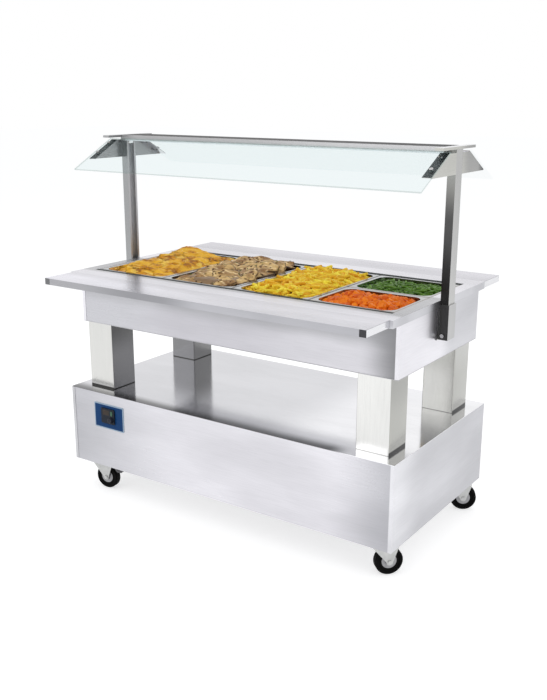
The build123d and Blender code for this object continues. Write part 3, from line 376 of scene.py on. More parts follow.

# Well casing: long panels of brushed sheet tucked behind folded end panels, over a floor sheet
# that lies on the legs.
# Painted light and shade: the long panels are lighter towards the right, darker near the top as a painted
# shadow under the tray, and dark at the right end; the end panels are darker towards the rear.
casing_steel = steel(
    "casing_brushed", (0.55, 0.55, 0.58), ("X", -0.50, -0.20, (0.60, 0.59, 0.63)),
    ("X", 0.05, 0.40, (0.72, 0.71, 0.75)), ("Z", 0.780, 0.835, (0.45, 0.45, 0.47)),
    ("X", 0.56, 0.71, (0.26, 0.26, 0.27)),
)
casing_end_steel = steel(
    "casing_end_brushed", (0.81, 0.80, 0.84), ("Y", -0.02, 0.10, (0.62, 0.62, 0.65)), grain=(90, 2, 90),
)
folded_copy("casing_panels", "frame", casing_steel, 0.0004)
folded_copy("casing_ends", "frame", casing_end_steel, 0.0007)
repaint("casing_floor", rear_steel)

# Worktop: one brushed sheet with a 27 mm folded edge all round, mitred and ground at the corners,
# and a pressed recess with the ledge that carries the pans. The ledge is near black, and a
# near-black strip stands along each long side, between the pan rims and the step of the recess.
def grained(name, scale, detail, dark, light, rough, spread, relief, **others):
    """A finish whose colour, gloss and relief follow one fine noise."""
    finish = Finish(name)
    grain = finish.noise(scale, detail)
    gloss = rough + grain * spread if spread else rough
    finish.set(Base_Color=finish.mix(grain, dark, light), Roughness=gloss, **others)
    return finish.bump(grain, relief)


# Painted shade darkens the top from just in front of the recess back to the middle, and painted light
# brightens it behind the middle.
top_steel = steel(
    "worktop_brushed", (0.70, 0.69, 0.74), ("Y", -0.325, -0.292, (0.42, 0.42, 0.44)),
    ("Y", 0.0, 0.02, (0.76, 0.75, 0.80)), rough=0.26,
)
edge_steel = steel("worktop_edge_brushed", (0.62, 0.62, 0.65), rough=0.3)
# A near-black finish for the ledge and for the strips along the recess.
ledge_black = grained(
    "ledge_black_finish", 160, 3, (0.02, 0.024, 0.024), (0.045, 0.05, 0.05), 0.6, 0.1, 0.0002,
    Specular_IOR_Level=0.15,
)
ledge_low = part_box("pan_roast")[1].z - 0.004


def on_ledge(normal, middle):
    return normal.z > 0.7 and abs(middle.z - ledge_low) < 0.002


folded_copy("worktop", "frame", top_steel, 0.0007, sides=(
    (on_ledge, ledge_black.material),
    (lambda normal, middle: abs(normal.z) < 0.5, edge_steel),
))

pans_low, pans_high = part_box("pan_roast")
recess_half_x, recess_half_y = 0.6553, 0.2857
pan_clearance = 0.0007
strip_foot = ledge_low + 0.0006
strip_top = pans_high.z + 0.0017
strip_slope, strip_drop = 0.0030, 0.0020
for edge, sign in (("front", -1), ("rear", 1)):
    near, far = sorted((sign * recess_half_y, sign * (-pans_low.y + pan_clearance)))
    outline = [
        (near, strip_foot), (far, strip_foot), (far, strip_top - strip_drop),
        (far - strip_slope, strip_top), (near + strip_slope, strip_top), (near, strip_top - strip_drop),
    ]
    corners = [(x, y, z) for x in (-recess_half_x, recess_half_x) for y, z in outline]
    count = len(outline)
    faces = [(k, k + count, (k + 1) % count + count, (k + 1) % count) for k in range(count)]
    faces += [tuple(range(count)), tuple(range(2 * count - 1, count - 1, -1))]
    black_strip_mesh = bpy.data.meshes.new("ledge_seal_" + edge)
    black_strip_mesh.from_pydata(corners, [], faces)
    black_strip_mesh.materials.append(ledge_black.material)
    black_strip = put("ledge_seal_" + edge, black_strip_mesh)
    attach(black_strip, "frame")

# Water well and what is inside it: the welded tank, wool round it, a tinted tubular heater on
# three clips, and folded bars that carry the pan rims between the bays.
tank_steel = steel("tank_pressed", (0.50, 0.50, 0.50), rough=0.22)
heater_steel = steel("heater_tinted", (0.26, 0.22, 0.19), ("X", -0.5, 0.5, (0.32, 0.31, 0.34)), rough=0.38)
wool = grained("insulation_wool", 160, 6, (0.50, 0.44, 0.28), (0.78, 0.72, 0.55), 0.95, 0, 0.002)
repaint("well_tank", tank_steel)
repaint("heating_element", heater_steel)
repaint("tank_insulation", wool.material)
repaint("pan_bars", tank_steel)

# Pans: bright pressed stainless with a flat rim, a turned edge that rests on the ledge and a
# deep body with wide corners. Painted shade darkens the inside rear wall, the front and right
# edges of the rim and the turned edge.
rim_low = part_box("pan_gratin")[1].z - 0.005
pan_tint = (0.56, 0.57, 0.60)
pan_outside = steel("pan_outside", pan_tint, rough=0.16, grain=(30, 30, 4))
for food in ("gratin", "roast", "fries", "carrots", "beans"):
    pan_low, pan_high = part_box("pan_" + food)
    # Painted shade: the inside rear wall, the rim's front and right edges and the turned edge take this dark
    # tint.
    dark = (0.05, 0.055, 0.055) if food in ("gratin", "roast", "fries") else (0.24, 0.22, 0.20)
    pan_steel = steel(
        "pan_bright_" + food, pan_tint, ("Y", pan_high.y - 0.030, pan_high.y - 0.022, dark),
        rough=0.16, grain=(30, 30, 4),
    )
    rim_steel = steel(
        "pan_rim_" + food, (0.42, 0.43, 0.44),
        ("Y", pan_low.y + 0.014, pan_low.y + 0.010, dark),
        ("X", pan_high.x - 0.009, pan_high.x - 0.006, dark), rough=0.2, grain=(30, 30, 4),
    )
    edge_shade = steel("pan_edge_" + food, dark, rough=0.3, grain=(4, 4, 40))

    def turned_edge(normal, middle, low=pan_low, high=pan_high):
        reach = min(middle.x - low.x, high.x - middle.x, middle.y - low.y, high.y - middle.y)
        return abs(normal.z) < 0.6 and middle.z > rim_low and reach < 0.003

    folded_copy("pan_" + food, "bay_" + food, pan_steel, 0.0004, flat=0.3, sides=(
        (turned_edge, edge_shade),
        (lambda normal, middle: normal.z > 0.7 and middle.z > rim_low, rim_steel),
        (lambda normal, middle: normal.y > 0.3 and middle.z < rim_low, pan_outside),
    ))


# Potato gratin: a baked cheese crust that fills its pan to the walls, blistered and browned
# where it stood proud, with a few cuts between the portions, their creases painted dark as shade.
def pan_floor_plan(low, high, corner, columns, rows, inset):
    """Points of a grid fitted to a pan's rounded plan, row by row."""
    middle = (low + high) / 2
    half_x = (high.x - low.x) / 2 - inset
    half_y = (high.y - low.y) / 2 - inset
    points = []
    for j in range(rows + 1):
        v = 2 * j / rows - 1
        for i in range(columns + 1):
            u = 2 * i / columns - 1
            x, y = u * half_x, v * half_y
            over_x = max(0.0, abs(x) - (half_x - corner))
            over_y = max(0.0, abs(y) - (half_y - corner))
            reach = math.hypot(over_x, over_y)
            if over_x > 0 and over_y > 0 and reach > 0:
                square = max(over_x, over_y)
                pull = square / reach
                x = math.copysign(half_x - corner + over_x * pull, x)
                y = math.copysign(half_y - corner + over_y * pull, y)
            edge = min((half_x - abs(u * half_x)), (half_y - abs(v * half_y)))
            points.append((middle.x + x, middle.y + y, edge))
    return points


def food_bed(name, food, finish, height, columns, rows):
    """A food surface over a pan's plan, its height given by a function of place and edge distance."""
    corner, wall_gap, skirt = 0.036, 0.002, 0.03
    low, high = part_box("food_" + food)
    plan = pan_floor_plan(low, high, corner, columns, rows, wall_gap)
    shaped = [height(x, y, edge) for x, y, edge in plan]
    corners = [(x, y, level) for (x, y, _), (level, _) in zip(plan, shaped)]
    wide = columns + 1
    faces = []
    for j in range(rows):
        for i in range(columns):
            a = j * wide + i
            faces.append((a, a + 1, a + 1 + wide, a + wide))
    border = list(range(wide)) + [j * wide + columns for j in range(1, rows + 1)]
    border += [rows * wide + i for i in range(columns - 1, -1, -1)]
    border += [j * wide for j in range(rows - 1, 0, -1)]
    start = len(corners)
    corners += [(corners[k][0], corners[k][1], corners[k][2] - skirt) for k in border]
    count = len(border)
    for k in range(count):
        following = (k + 1) % count
        faces.append((border[following], border[k], start + k, start + following))
    faces.append(tuple(start + k for k in range(count - 1, -1, -1)))
    mesh = bpy.data.meshes.new(name)
    mesh.from_pydata(corners, [], faces)
    crease = mesh.attributes.new("crease", "FLOAT", "POINT")
    for index in range(len(corners)):
        crease.data[index].value = shaped[index][1] if index < start else 1.0
    mesh.shade_smooth()
    mesh.set_sharp_from_angle(angle=math.radians(70))
    mesh.materials.append(finish)
    piece = put(name, mesh)
    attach(piece, "bay_" + food)
    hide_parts("food_" + food)
    return piece


rim_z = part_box("pan_gratin")[1].z
gratin_middle = (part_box("pan_gratin")[0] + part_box("pan_gratin")[1]) / 2


def ripple(x, y, scale, layer):
    """Smooth noise over the plan, from -1 to 1."""
    return noise.noise(Vector((x * scale, y * scale, layer)))


def gratin_height(x, y, edge):
    """Baked folds that lean on each other, heaped higher towards the back of the pan."""
    drift = Vector((ripple(x, y, 11, 3), ripple(x, y, 11, 8), 0)) * 0.55
    spot = Vector((x * 6.0 + y * 1.5, y * 5.0 - x * 2.0, 1.0)) + drift
    reach, centres = noise.voronoi(spot)
    crease = min(1.0, (reach[1] - reach[0]) / 0.30)
    dome = crease * crease * (3 - 2 * crease)
    downhill = Vector((noise.cell(centres[0] * 3.1) - 0.5, noise.cell(centres[0] * 5.7) - 0.1, 0))
    lean = (spot - centres[0]).dot(downhill)
    rise = min(1.0, max(0.0, edge) / 0.040)
    rise = rise * rise * (3 - 2 * rise)
    along, across = (y - gratin_middle.y) / 0.26, (x - gratin_middle.x) / 0.16
    heap = 0.013 + 0.010 * along - 0.009 * across * (0.4 + 0.6 * max(0.0, along))
    heap -= 0.030 * max(0.0, along - 0.55) * max(0.0, across + 0.5)
    bulk = heap + 0.007 * ripple(x, y, 7, 4)
    knobs = ripple(x, y, 38, 6.0) * 0.0045 + ripple(x, y, 80, 1.7) * 0.0022
    grit = ripple(x, y, 190, 3.1) * 0.0009
    level = rim_z - 0.003 + rise * bulk + (0.3 + 0.7 * rise) * (dome * 0.005 + lean * 0.020 + knobs) + grit
    return level, 1 - dome


gratin = Finish("gratin_crust")
bake = gratin.noise(19, 5)
spots = gratin.noise(70, 5)
fold = Wire(gratin, gratin.node("ShaderNodeAttribute", attribute_name="crease").outputs["Fac"])
cheese = gratin.mix(gratin.ramp(bake, 0.40, 0.60), (0.86, 0.47, 0.030), (0.62, 0.26, 0.010))
cheese = gratin.mix(gratin.ramp(gratin.noise(31, 4), 0.54, 0.66) * 0.8, cheese, (0.94, 0.66, 0.12))
browned = gratin.mix(gratin.ramp(spots * 0.35 + bake * 0.65, 0.54, 0.61) * 0.85, cheese, (0.30, 0.10, 0.008))
# Painted shade: the creases between the folds are darkened to a deep brown.
browned_and_shaded = gratin.mix(gratin.ramp(fold + (spots - 0.5) * 0.9, 0.78, 1.25) * 0.75, browned, (0.14, 0.07, 0.012))
gratin.set(Base_Color=browned_and_shaded, Roughness=0.40 + spots * 0.25, Specular_IOR_Level=0.15)
gratin.bump(gratin.noise(130, 4) + spots * 0.8, 0.0022)
food_bed("gratin_crust", "gratin", gratin.material, gratin_height, 130, 210)


# Roast: broad carved slices laid over each other in brown gravy, fawn meat with a darker rim,
# grain across each slice, charred crumbs and a few cut herbs strewn on top.
gravy = grained(
    "roast_gravy", 26, 4, (0.12, 0.060, 0.024), (0.34, 0.21, 0.10), 0.32, 0.15, 0.001,
    Specular_IOR_Level=0.35,
)


def gravy_height(x, y, edge):
    """Gravy that stands low at the walls and higher under the slices."""
    rise = min(1.0, max(0.0, edge - 0.012) / 0.050)
    return rim_z - 0.020 + rise * rise * (3 - 2 * rise) * 0.026 + ripple(x, y, 40, 9.0) * 0.004, 0.0


food_bed("roast_gravy", "roast", gravy.material, gravy_height, 60, 100)

meat = Finish("roast_slices")
meat_grain = meat.noise(30, 5, (1, 3.5, 1))
meat_patch = meat.noise(17, 4)
meat_fibre = meat.noise(150, 3, (0.4, 2.2, 1))
meat_colour = meat.mix(meat.ramp(meat_patch, 0.38, 0.62), (0.29, 0.150, 0.055), (0.68, 0.45, 0.185))
meat_colour = meat.mix(meat.ramp(meat_grain, 0.52, 0.68) * 0.9, meat_colour, (0.97, 0.74, 0.41))
meat_colour = meat.mix(meat.ramp(meat.noise(48, 4), 0.58, 0.68), meat_colour, (0.14, 0.06, 0.02))
# The darker rim mark is partly seared meat and partly painted shade where each slice tucks under its
# neighbour.
sear_and_shade_mark = Wire(meat, meat.node("ShaderNodeAttribute", attribute_name="browned_and_shaded").outputs["Fac"])
seared_and_shaded = meat.ramp(sear_and_shade_mark + (meat_grain - 0.5) * 0.8, 0.25, 0.85)
meat_colour = meat.mix(seared_and_shaded, meat_colour, (0.06, 0.028, 0.011))
meat.set(Base_Color=meat_colour, Roughness=0.42 + meat_grain * 0.2, Specular_IOR_Level=0.2)
meat.bump(meat_grain + meat_fibre * 0.5, 0.0016)


def carve_slice(shape, browned_and_shaded, centre, long, wide, turn, tilt, seed):
    """One carved slice: a closed, slightly curled slab with an uneven five-cornered outline."""
    rings, spokes, thick = 7, 34, 0.010
    rng = random.Random(seed)
    phase = [rng.uniform(0, 6.28) for _ in range(4)]
    curl = rng.uniform(0.6, 1.4)
    place = Matrix.Translation(centre) @ Matrix.Rotation(turn, 4, "Z") @ Matrix.Rotation(tilt, 4, "X")
    layers = []
    for face_side in (1, -1):
        layer = []
        hub = shape.verts.new(place @ Vector((0, 0, face_side * thick / 2)))
        hub[browned_and_shaded] = 0
        layer.append([hub])
        for r in range(1, rings + 1):
            part = r / rings
            ring = []
            for s in range(spokes):
                a = 2 * math.pi * s / spokes
                corner = math.cos(math.pi / 5) / math.cos((a + phase[0]) % (0.4 * math.pi) - math.pi / 5)
                edge = 0.35 + 0.75 * corner + 0.07 * math.sin(3 * a + phase[1])
                edge += 0.05 * math.sin(5 * a + phase[2]) + 0.03 * math.sin(9 * a + phase[3])
                x = math.cos(a) * long / 2 * part * edge
                y = math.sin(a) * wide / 2 * part * edge
                sag = -curl * (x / long) ** 2 * 0.03 + 0.004 * math.sin(3.1 * x / long + phase[1])
                wave = 0.007 * noise.noise(Vector((x * 22 + seed, y * 30, 4)))
                wave += 0.0022 * noise.noise(Vector((x * 80 + seed, y * 60, 7)))
                half = thick / 2 * (1 if part < 0.9 else 0.62)
                vert = shape.verts.new(place @ Vector((x, y, sag + wave + face_side * half)))
                # Painted shade: the front part of each slice, which tucks under its neighbour, is darkened.
                shade_under_neighbour = max(0.0, -y / wide - 0.22) * 3.2
                rim_dark = 0.75 if face_side > 0 or y < 0 else 0.1
                vert[browned_and_shaded] = min(1.0, max(0.0, (part - 0.84) / 0.16) * rim_dark + shade_under_neighbour)
                ring.append(vert)
            layer.append(ring)
        layers.append(layer)
    for layer, flip in zip(layers, (False, True)):
        for s in range(spokes):
            following = (s + 1) % spokes
            fan = (layer[0][0], layer[1][s], layer[1][following])
            shape.faces.new(fan[::-1] if flip else fan)
            for r in range(1, rings):
                quad = (layer[r][s], layer[r + 1][s], layer[r + 1][following], layer[r][following])
                shape.faces.new(quad[::-1] if flip else quad)
    for s in range(spokes):
        following = (s + 1) % spokes
        top, low = layers[0][rings], layers[1][rings]
        shape.faces.new((top[following], top[s], low[s], low[following]))


pan_corner = 0.039
pan_draft = 0.05


def keep_in_pan(mesh, food):
    """Moves each loose piece of a food in from the walls of its pan, which its ends would cross."""
    low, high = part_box("food_" + food)
    middle, half = (low + high) / 2, (high - low) / 2
    leader = list(range(len(mesh.vertices)))

    def first_of(index):
        while leader[index] != index:
            leader[index] = leader[leader[index]]
            index = leader[index]
        return index

    def reach_out(spot):
        """How far a spot lies outside the wall at its height, and the way out."""
        wall_in = pan_corner + pan_draft * (rim_z - spot.z)
        x, y = spot.x - middle.x, spot.y - middle.y
        over_x, over_y = abs(x) - half.x + wall_in, abs(y) - half.y + wall_in
        if over_x > 0 and over_y > 0:
            span = math.hypot(over_x, over_y)
            way = (over_x / span, over_y / span)
        else:
            span = max(over_x, over_y)
            way = (1.0, 0.0) if over_x > over_y else (0.0, 1.0)
        return span - pan_corner, Vector((math.copysign(way[0], x), math.copysign(way[1], y), 0))

    for edge in mesh.edges:
        first, second = edge.vertices
        leader[first_of(first)] = first_of(second)
    pieces = {}
    for vert in mesh.vertices:
        pieces.setdefault(first_of(vert.index), []).append(vert)
    for verts in pieces.values():
        low_verts = [vert for vert in verts if vert.co.z < rim_z + 0.001]
        for _ in range(8):
            found = [reach_out(vert.co) for vert in low_verts]
            worst, way = max(found, key=lambda one: one[0], default=(0, None))
            if worst <= 0.0001:
                break
            for vert in verts:
                vert.co -= way * worst


slices = bmesh.new()
browned_and_shaded_layer = slices.verts.layers.float.new("browned_and_shaded")
roast_low, roast_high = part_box("food_roast")
roast_middle = (roast_low + roast_high) / 2
slice_lean = 0.8
slice_plan = (
    (-0.070, -0.205, 0.000, 0.140, 0.085, 0.30, 0.30),
    (0.055, -0.195, 0.002, 0.150, 0.090, -0.25, 0.34),
    (-0.080, -0.135, 0.006, 0.130, 0.100, -0.45, 0.36),
    (0.020, -0.125, 0.008, 0.165, 0.095, 0.25, 0.38),
    (0.080, -0.070, 0.006, 0.135, 0.100, -0.40, 0.36),
    (-0.055, -0.060, 0.010, 0.160, 0.100, 0.35, 0.40),
    (0.030, -0.010, 0.011, 0.150, 0.095, -0.50, 0.42),
    (-0.085, 0.020, 0.008, 0.125, 0.100, 0.15, 0.34),
    (0.060, 0.055, 0.014, 0.165, 0.100, 0.20, 0.44),
    (-0.045, 0.085, 0.014, 0.165, 0.105, -0.25, 0.42),
    (0.085, 0.125, 0.010, 0.130, 0.095, -0.45, 0.36),
    (-0.010, 0.150, 0.014, 0.170, 0.095, 0.15, 0.42),
    (-0.085, 0.180, 0.008, 0.125, 0.085, -0.30, 0.34),
    (0.060, 0.192, 0.008, 0.145, 0.080, 0.10, 0.34),
    (0.096, -0.135, 0.001, 0.120, 0.085, 1.30, 0.22),
    (0.100, 0.020, 0.003, 0.130, 0.080, 1.50, 0.22),
    (-0.060, 0.214, 0.000, 0.140, 0.070, 0.15, -0.40),
    (0.030, 0.216, 0.001, 0.150, 0.070, -0.10, -0.40),
    (0.100, 0.205, -0.002, 0.110, 0.080, 0.25, -0.35),
)
for number, (x, y, rise, long, wide, turn, tilt) in enumerate(slice_plan):
    spot = Vector((roast_middle.x + x, roast_middle.y + y, rim_z + rise))
    carve_slice(slices, browned_and_shaded_layer, spot, long, wide, turn, slice_lean * tilt, number)
bmesh.ops.recalc_face_normals(slices, faces=slices.faces)
for face in slices.faces:
    face.smooth = True
slice_mesh = bpy.data.meshes.new("roast_slices")
slices.to_mesh(slice_mesh)
slices.free()
keep_in_pan(slice_mesh, "roast")
slice_mesh.materials.append(meat.material)
roast_piece = put("roast_slices", slice_mesh)
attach(roast_piece, "bay_roast")


# Loose foods: fries, carrot pieces and cut beans are scattered over a heaped bed, turned at
# random, in two or three layers. The bed under them is the same food in shade.
def heap_height(drop, heap, spread):
    """The height of a bed that starts below the rim and rises away from the walls."""
    def height(x, y, edge):
        rise = min(1.0, max(0.0, edge) / spread)
        rise = rise * rise * (3 - 2 * rise)
        return rim_z - drop + rise * (heap + ripple(x, y, 16, 6.0) * 0.006), 0.0

    return height


def scatter_tree(name, shape_names, finish):
    """Geometry Nodes that scatter a few shapes over a bed."""
    tree = bpy.data.node_groups.new(name, "GeometryNodeTree")
    face = tree.interface
    face.new_socket("Bed", in_out="INPUT", socket_type="NodeSocketGeometry")
    for label, kind in (
        ("Density", "NodeSocketFloat"),
        ("Lift", "NodeSocketFloat"),
        ("Tip", "NodeSocketFloat"),
        ("Smallest", "NodeSocketFloat"),
        ("Largest", "NodeSocketFloat"),
        ("Seed", "NodeSocketInt"),
    ):
        face.new_socket(label, in_out="INPUT", socket_type=kind)
    face.new_socket("Food", in_out="OUTPUT", socket_type="NodeSocketGeometry")

    graph = Graph(tree)
    inlet = graph.node("NodeGroupInput").outputs
    seed = inlet["Seed"]
    spread = {"Mesh": inlet["Bed"], "Density": inlet["Density"], "Seed": seed}
    points = graph.node("GeometryNodeDistributePointsOnFaces", spread, distribute_method="RANDOM")
    lift = graph.node("FunctionNodeRandomValue", {2: 0.0, 3: inlet["Lift"], "Seed": seed}, data_type="FLOAT")
    rise = graph.node("ShaderNodeCombineXYZ", {"Z": lift.outputs[1]}).outputs[0]
    moved = graph.node("GeometryNodeSetPosition", {"Geometry": points.outputs["Points"], "Offset": rise})
    tip = inlet["Tip"]
    back = graph.node("ShaderNodeMath", {0: tip, 1: -1}, operation="MULTIPLY").outputs[0]
    least = graph.node("ShaderNodeCombineXYZ", {"X": back, "Y": back, "Z": -math.pi}).outputs[0]
    most = graph.node("ShaderNodeCombineXYZ", {"X": tip, "Y": tip, "Z": math.pi}).outputs[0]
    turn = graph.node("FunctionNodeRandomValue", {0: least, 1: most, "Seed": seed}, data_type="FLOAT_VECTOR")
    sizes = {2: inlet["Smallest"], 3: inlet["Largest"], "Seed": seed}
    size = graph.node("FunctionNodeRandomValue", sizes, data_type="FLOAT")
    kinds = graph.node("GeometryNodeGeometryToInstance")
    for shape_name in shape_names:
        chosen = {"Object": bpy.data.objects[shape_name]}
        info = graph.node("GeometryNodeObjectInfo", chosen, transform_space="ORIGINAL")
        graph.feed(kinds.inputs[0], info.outputs["Geometry"])
    pick = graph.node("FunctionNodeRandomValue", {4: 0, 5: len(shape_names) - 1}, data_type="INT")
    placed = graph.node("GeometryNodeInstanceOnPoints", {
        "Points": moved.outputs[0],
        "Instance": kinds.outputs[0],
        "Pick Instance": True,
        "Instance Index": pick.outputs[2],
        "Rotation": turn.outputs[0],
        "Scale": size.outputs[1],
    })
    tone = graph.node("FunctionNodeRandomValue", {"Seed": 7}, data_type="FLOAT")
    noted = {"Geometry": placed.outputs[0], "Name": "tone", "Value": tone.outputs[1]}
    keep = graph.node("GeometryNodeStoreNamedAttribute", noted, data_type="FLOAT", domain="INSTANCE")
    real = graph.node("GeometryNodeRealizeInstances", {0: keep.outputs[0]})
    coat = graph.node("GeometryNodeSetMaterial", {0: real.outputs[0], "Material": finish})
    graph.node("NodeGroupOutput", {0: coat.outputs[0]})
    return tree


def scatter(name, bed, tree, food, inset=0.0, **values):
    """Runs a scatter tree over a bed, drawn in from its sides, and keeps the result as a plain mesh."""
    ground = bed.data.copy()
    if inset:
        for index in (0, 1):
            reach = [vert.co[index] for vert in ground.vertices]
            half, middle = (max(reach) - min(reach)) / 2, (max(reach) + min(reach)) / 2
            for vert in ground.vertices:
                vert.co[index] = middle + (vert.co[index] - middle) * (1 - inset / half)
    carrier = put(name + "_bed", ground)
    worker = carrier.modifiers.new("scatter", "NODES")
    worker.node_group = tree
    for item in tree.interface.items_tree:
        if item.in_out == "INPUT" and item.name in values:
            worker[item.identifier] = values[item.name]
    evaluated = carrier.evaluated_get(bpy.context.evaluated_depsgraph_get())
    mesh = bpy.data.meshes.new_from_object(evaluated)
    carrier.modifiers.remove(worker)
    bpy.data.objects.remove(carrier)
    mesh.name = name
    keep_in_pan(mesh, food)
    piece = put(name, mesh)
    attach(piece, "bay_" + food)


def strip_shape(name, length, width, thick, bend, taper=0.85, cuts=5, rounded=0.25):
    """A cut strip of food along X: a bent bar of eight sides, a square with softened edges."""
    shape = bmesh.new()
    rings = []
    outline = []
    for sx, sy in ((1, 1), (-1, 1), (-1, -1), (1, -1)):
        outline.append((sx * 0.5, sy * (0.5 - rounded)))
        outline.append((sx * (0.5 - rounded), sy * 0.5))
    outline.sort(key=lambda p: math.atan2(p[1], p[0]))
    for k in range(cuts + 1):
        t = 2 * k / cuts - 1
        slim = 1 - (1 - taper) * t * t
        rings.append([
            shape.verts.new((t * length / 2, a * width * slim, b * thick * slim + bend * (1 - t * t)))
            for a, b in outline
        ])
    sides = len(outline)
    for k in range(cuts):
        for s in range(sides):
            following = (s + 1) % sides
            shape.faces.new((rings[k][s], rings[k][following], rings[k + 1][following], rings[k + 1][s]))
    shape.faces.new(rings[0][::-1])
    shape.faces.new(rings[-1])
    bmesh.ops.recalc_face_normals(shape, faces=shape.faces)
    mesh = bpy.data.meshes.new(name)
    shape.to_mesh(mesh)
    shape.free()
    mesh.shade_smooth()
    mesh.set_sharp_from_angle(angle=math.radians(50))
    return bpy.data.objects.new(name, mesh)


def loose_food(food, finish, shade, shapes, heap, rows, inset, **values):
    """Lays a shaded bed of a food in its pan and scatters its loose pieces over that."""
    bed = food_bed(food + "_bed", food, shade.material, heap_height(*heap), 30, rows)
    tree = scatter_tree("scatter_" + food, [shape.name for shape in shapes], finish.material)
    scatter(food + "_loose", bed, tree, food, inset, **values)


def food_finish(name, dark, light, spot, spot_low, gloss, scale=60):
    """Cooked vegetable or potato: a tone for each piece, soft patches and a few browned specks."""
    finish = Finish(name)
    tone = Wire(finish, finish.node("ShaderNodeAttribute", attribute_name="tone").outputs["Fac"])
    patch = finish.noise(scale, 3)
    colour = finish.mix(tone * 0.7 + patch * 0.3, dark, light)
    colour = finish.mix(finish.ramp(finish.noise(scale * 1.7, 4), spot_low, spot_low + 0.12), colour, spot)
    finish.set(Base_Color=colour, Roughness=gloss + patch * 0.15, Specular_IOR_Level=0.15)
    return finish.bump(patch, 0.0008)


# Cut herbs and charred crumbs strewn over the roast, 3 to 12 mm long. They lie loose on the
# slices and came off the knife and the crust.
strewn = (
    ("herbs", (0.03, 0.07, 0.012), (0.16, 0.24, 0.06), 0.009, 0.0030, 0.0010, 700.0, 12),
    ("crumbs", (0.05, 0.024, 0.010), (0.20, 0.10, 0.04), 0.010, 0.0060, 0.0030, 500.0, 4),
)
for strewn_name, dark, light, length, width, thick, crowd, seed in strewn:
    cut_finish = food_finish(strewn_name + "_cut", dark, light, dark, 0.6, 0.5)
    cuts = (
        strip_shape(strewn_name + "_long", length, width, thick, 0.0006, 0.4, 3, 0.2),
        strip_shape(strewn_name + "_short", length * 0.6, width * 1.3, thick, 0.0004, 0.3, 3, 0.2),
    )
    strewn_tree = scatter_tree("scatter_" + strewn_name, [cut.name for cut in cuts], cut_finish.material)
    scatter("roast_" + strewn_name, roast_piece, strewn_tree, "roast",
            Density=crowd, Lift=0.001, Tip=0.4, Smallest=0.6, Largest=1.4, Seed=seed)

# Fries: thick cut potato, 10 to 12 mm square and 50 to 78 mm long before each is scaled, fried
# and heaped above the rim.
fry_finish = food_finish(
    "fries_fried", (0.72, 0.27, 0.003), (1.0, 0.90, 0.08), (0.36, 0.11, 0.005), 0.62, 0.5,
)
fries_shade = food_finish(
    "fries_shade", (0.20, 0.075, 0.003), (0.36, 0.15, 0.006), (0.12, 0.04, 0.004), 0.62, 0.5,
)
fry_shapes = (
    strip_shape("fry_straight", 0.070, 0.0112, 0.0105, 0.000),
    strip_shape("fry_bent", 0.078, 0.0108, 0.0100, 0.006),
    strip_shape("fry_short", 0.050, 0.0118, 0.0110, 0.001),
)
loose_food("fries", fry_finish, fries_shade, fry_shapes, (0.024, 0.020, 0.075), 50, 0.011,
           Density=5600.0, Lift=0.016, Tip=0.36, Smallest=0.75, Largest=1.15, Seed=3)

# Carrots: thick slices and chunks, 17 to 30 mm long and 19 to 27 mm across, boiled and glazed,
# tipped every way in their half-size pan.
carrot_finish = food_finish(
    "carrots_glazed", (0.58, 0.07, 0.003), (0.93, 0.25, 0.006), (0.97, 0.42, 0.03), 0.66, 0.38, 45,
)
carrots_shade = food_finish(
    "carrots_shade", (0.22, 0.035, 0.005), (0.38, 0.08, 0.008), (0.25, 0.05, 0.005), 0.7, 0.4,
)
carrot_shapes = (
    strip_shape("carrot_round", 0.017, 0.027, 0.027, 0.0, 0.9, 3, 0.22),
    strip_shape("carrot_chunk", 0.026, 0.024, 0.020, 0.001, 0.85, 4, 0.22),
    strip_shape("carrot_end", 0.030, 0.020, 0.019, 0.002, 0.6, 4, 0.22),
)
loose_food("carrots", carrot_finish, carrots_shade, carrot_shapes, (0.024, 0.012, 0.06), 24, 0.004,
           Density=4200.0, Lift=0.008, Tip=1.2, Smallest=0.8, Largest=1.15, Seed=5)

# Green beans: cut pods, 7 to 8 mm across and 32 to 52 mm long before each is scaled, boiled,
# dark with lighter spots.
bean_finish = food_finish(
    "beans_boiled", (0.032, 0.090, 0.012), (0.13, 0.27, 0.028), (0.28, 0.45, 0.11), 0.66, 0.32, 70,
)
beans_shade = food_finish(
    "beans_shade", (0.008, 0.035, 0.007), (0.025, 0.08, 0.014), (0.03, 0.10, 0.015), 0.7, 0.5,
)
bean_shapes = (
    strip_shape("bean_straight", 0.046, 0.0075, 0.0075, 0.001, 0.75, 5, 0.2),
    strip_shape("bean_bent", 0.052, 0.0070, 0.0070, 0.004, 0.7, 5, 0.2),
    strip_shape("bean_short", 0.032, 0.0080, 0.0080, 0.000, 0.8, 4, 0.2),
)
loose_food("beans", bean_finish, beans_shade, bean_shapes, (0.026, 0.014, 0.06), 24, 0.010,
           Density=9500.0, Lift=0.009, Tip=0.35, Smallest=0.8, Largest=1.15, Seed=9)

# Tray slides: a folded shelf on two square end tubes, hinged under the worktop's edge on three
# knuckles a side, flush with the worktop when up. Black plastic caps plug the tube ends.
# Painted light and shade: the shelf top is lighter at its left end and along the front edge of the front
# tray, and darker elsewhere.
tray_steel = steel(
    "tray_brushed", (0.82, 0.81, 0.88), ("X", -0.5, 0.3, (0.69, 0.68, 0.73)),
    ("Y", -0.45, -0.37, (0.64, 0.63, 0.68)), rough=0.26,
)
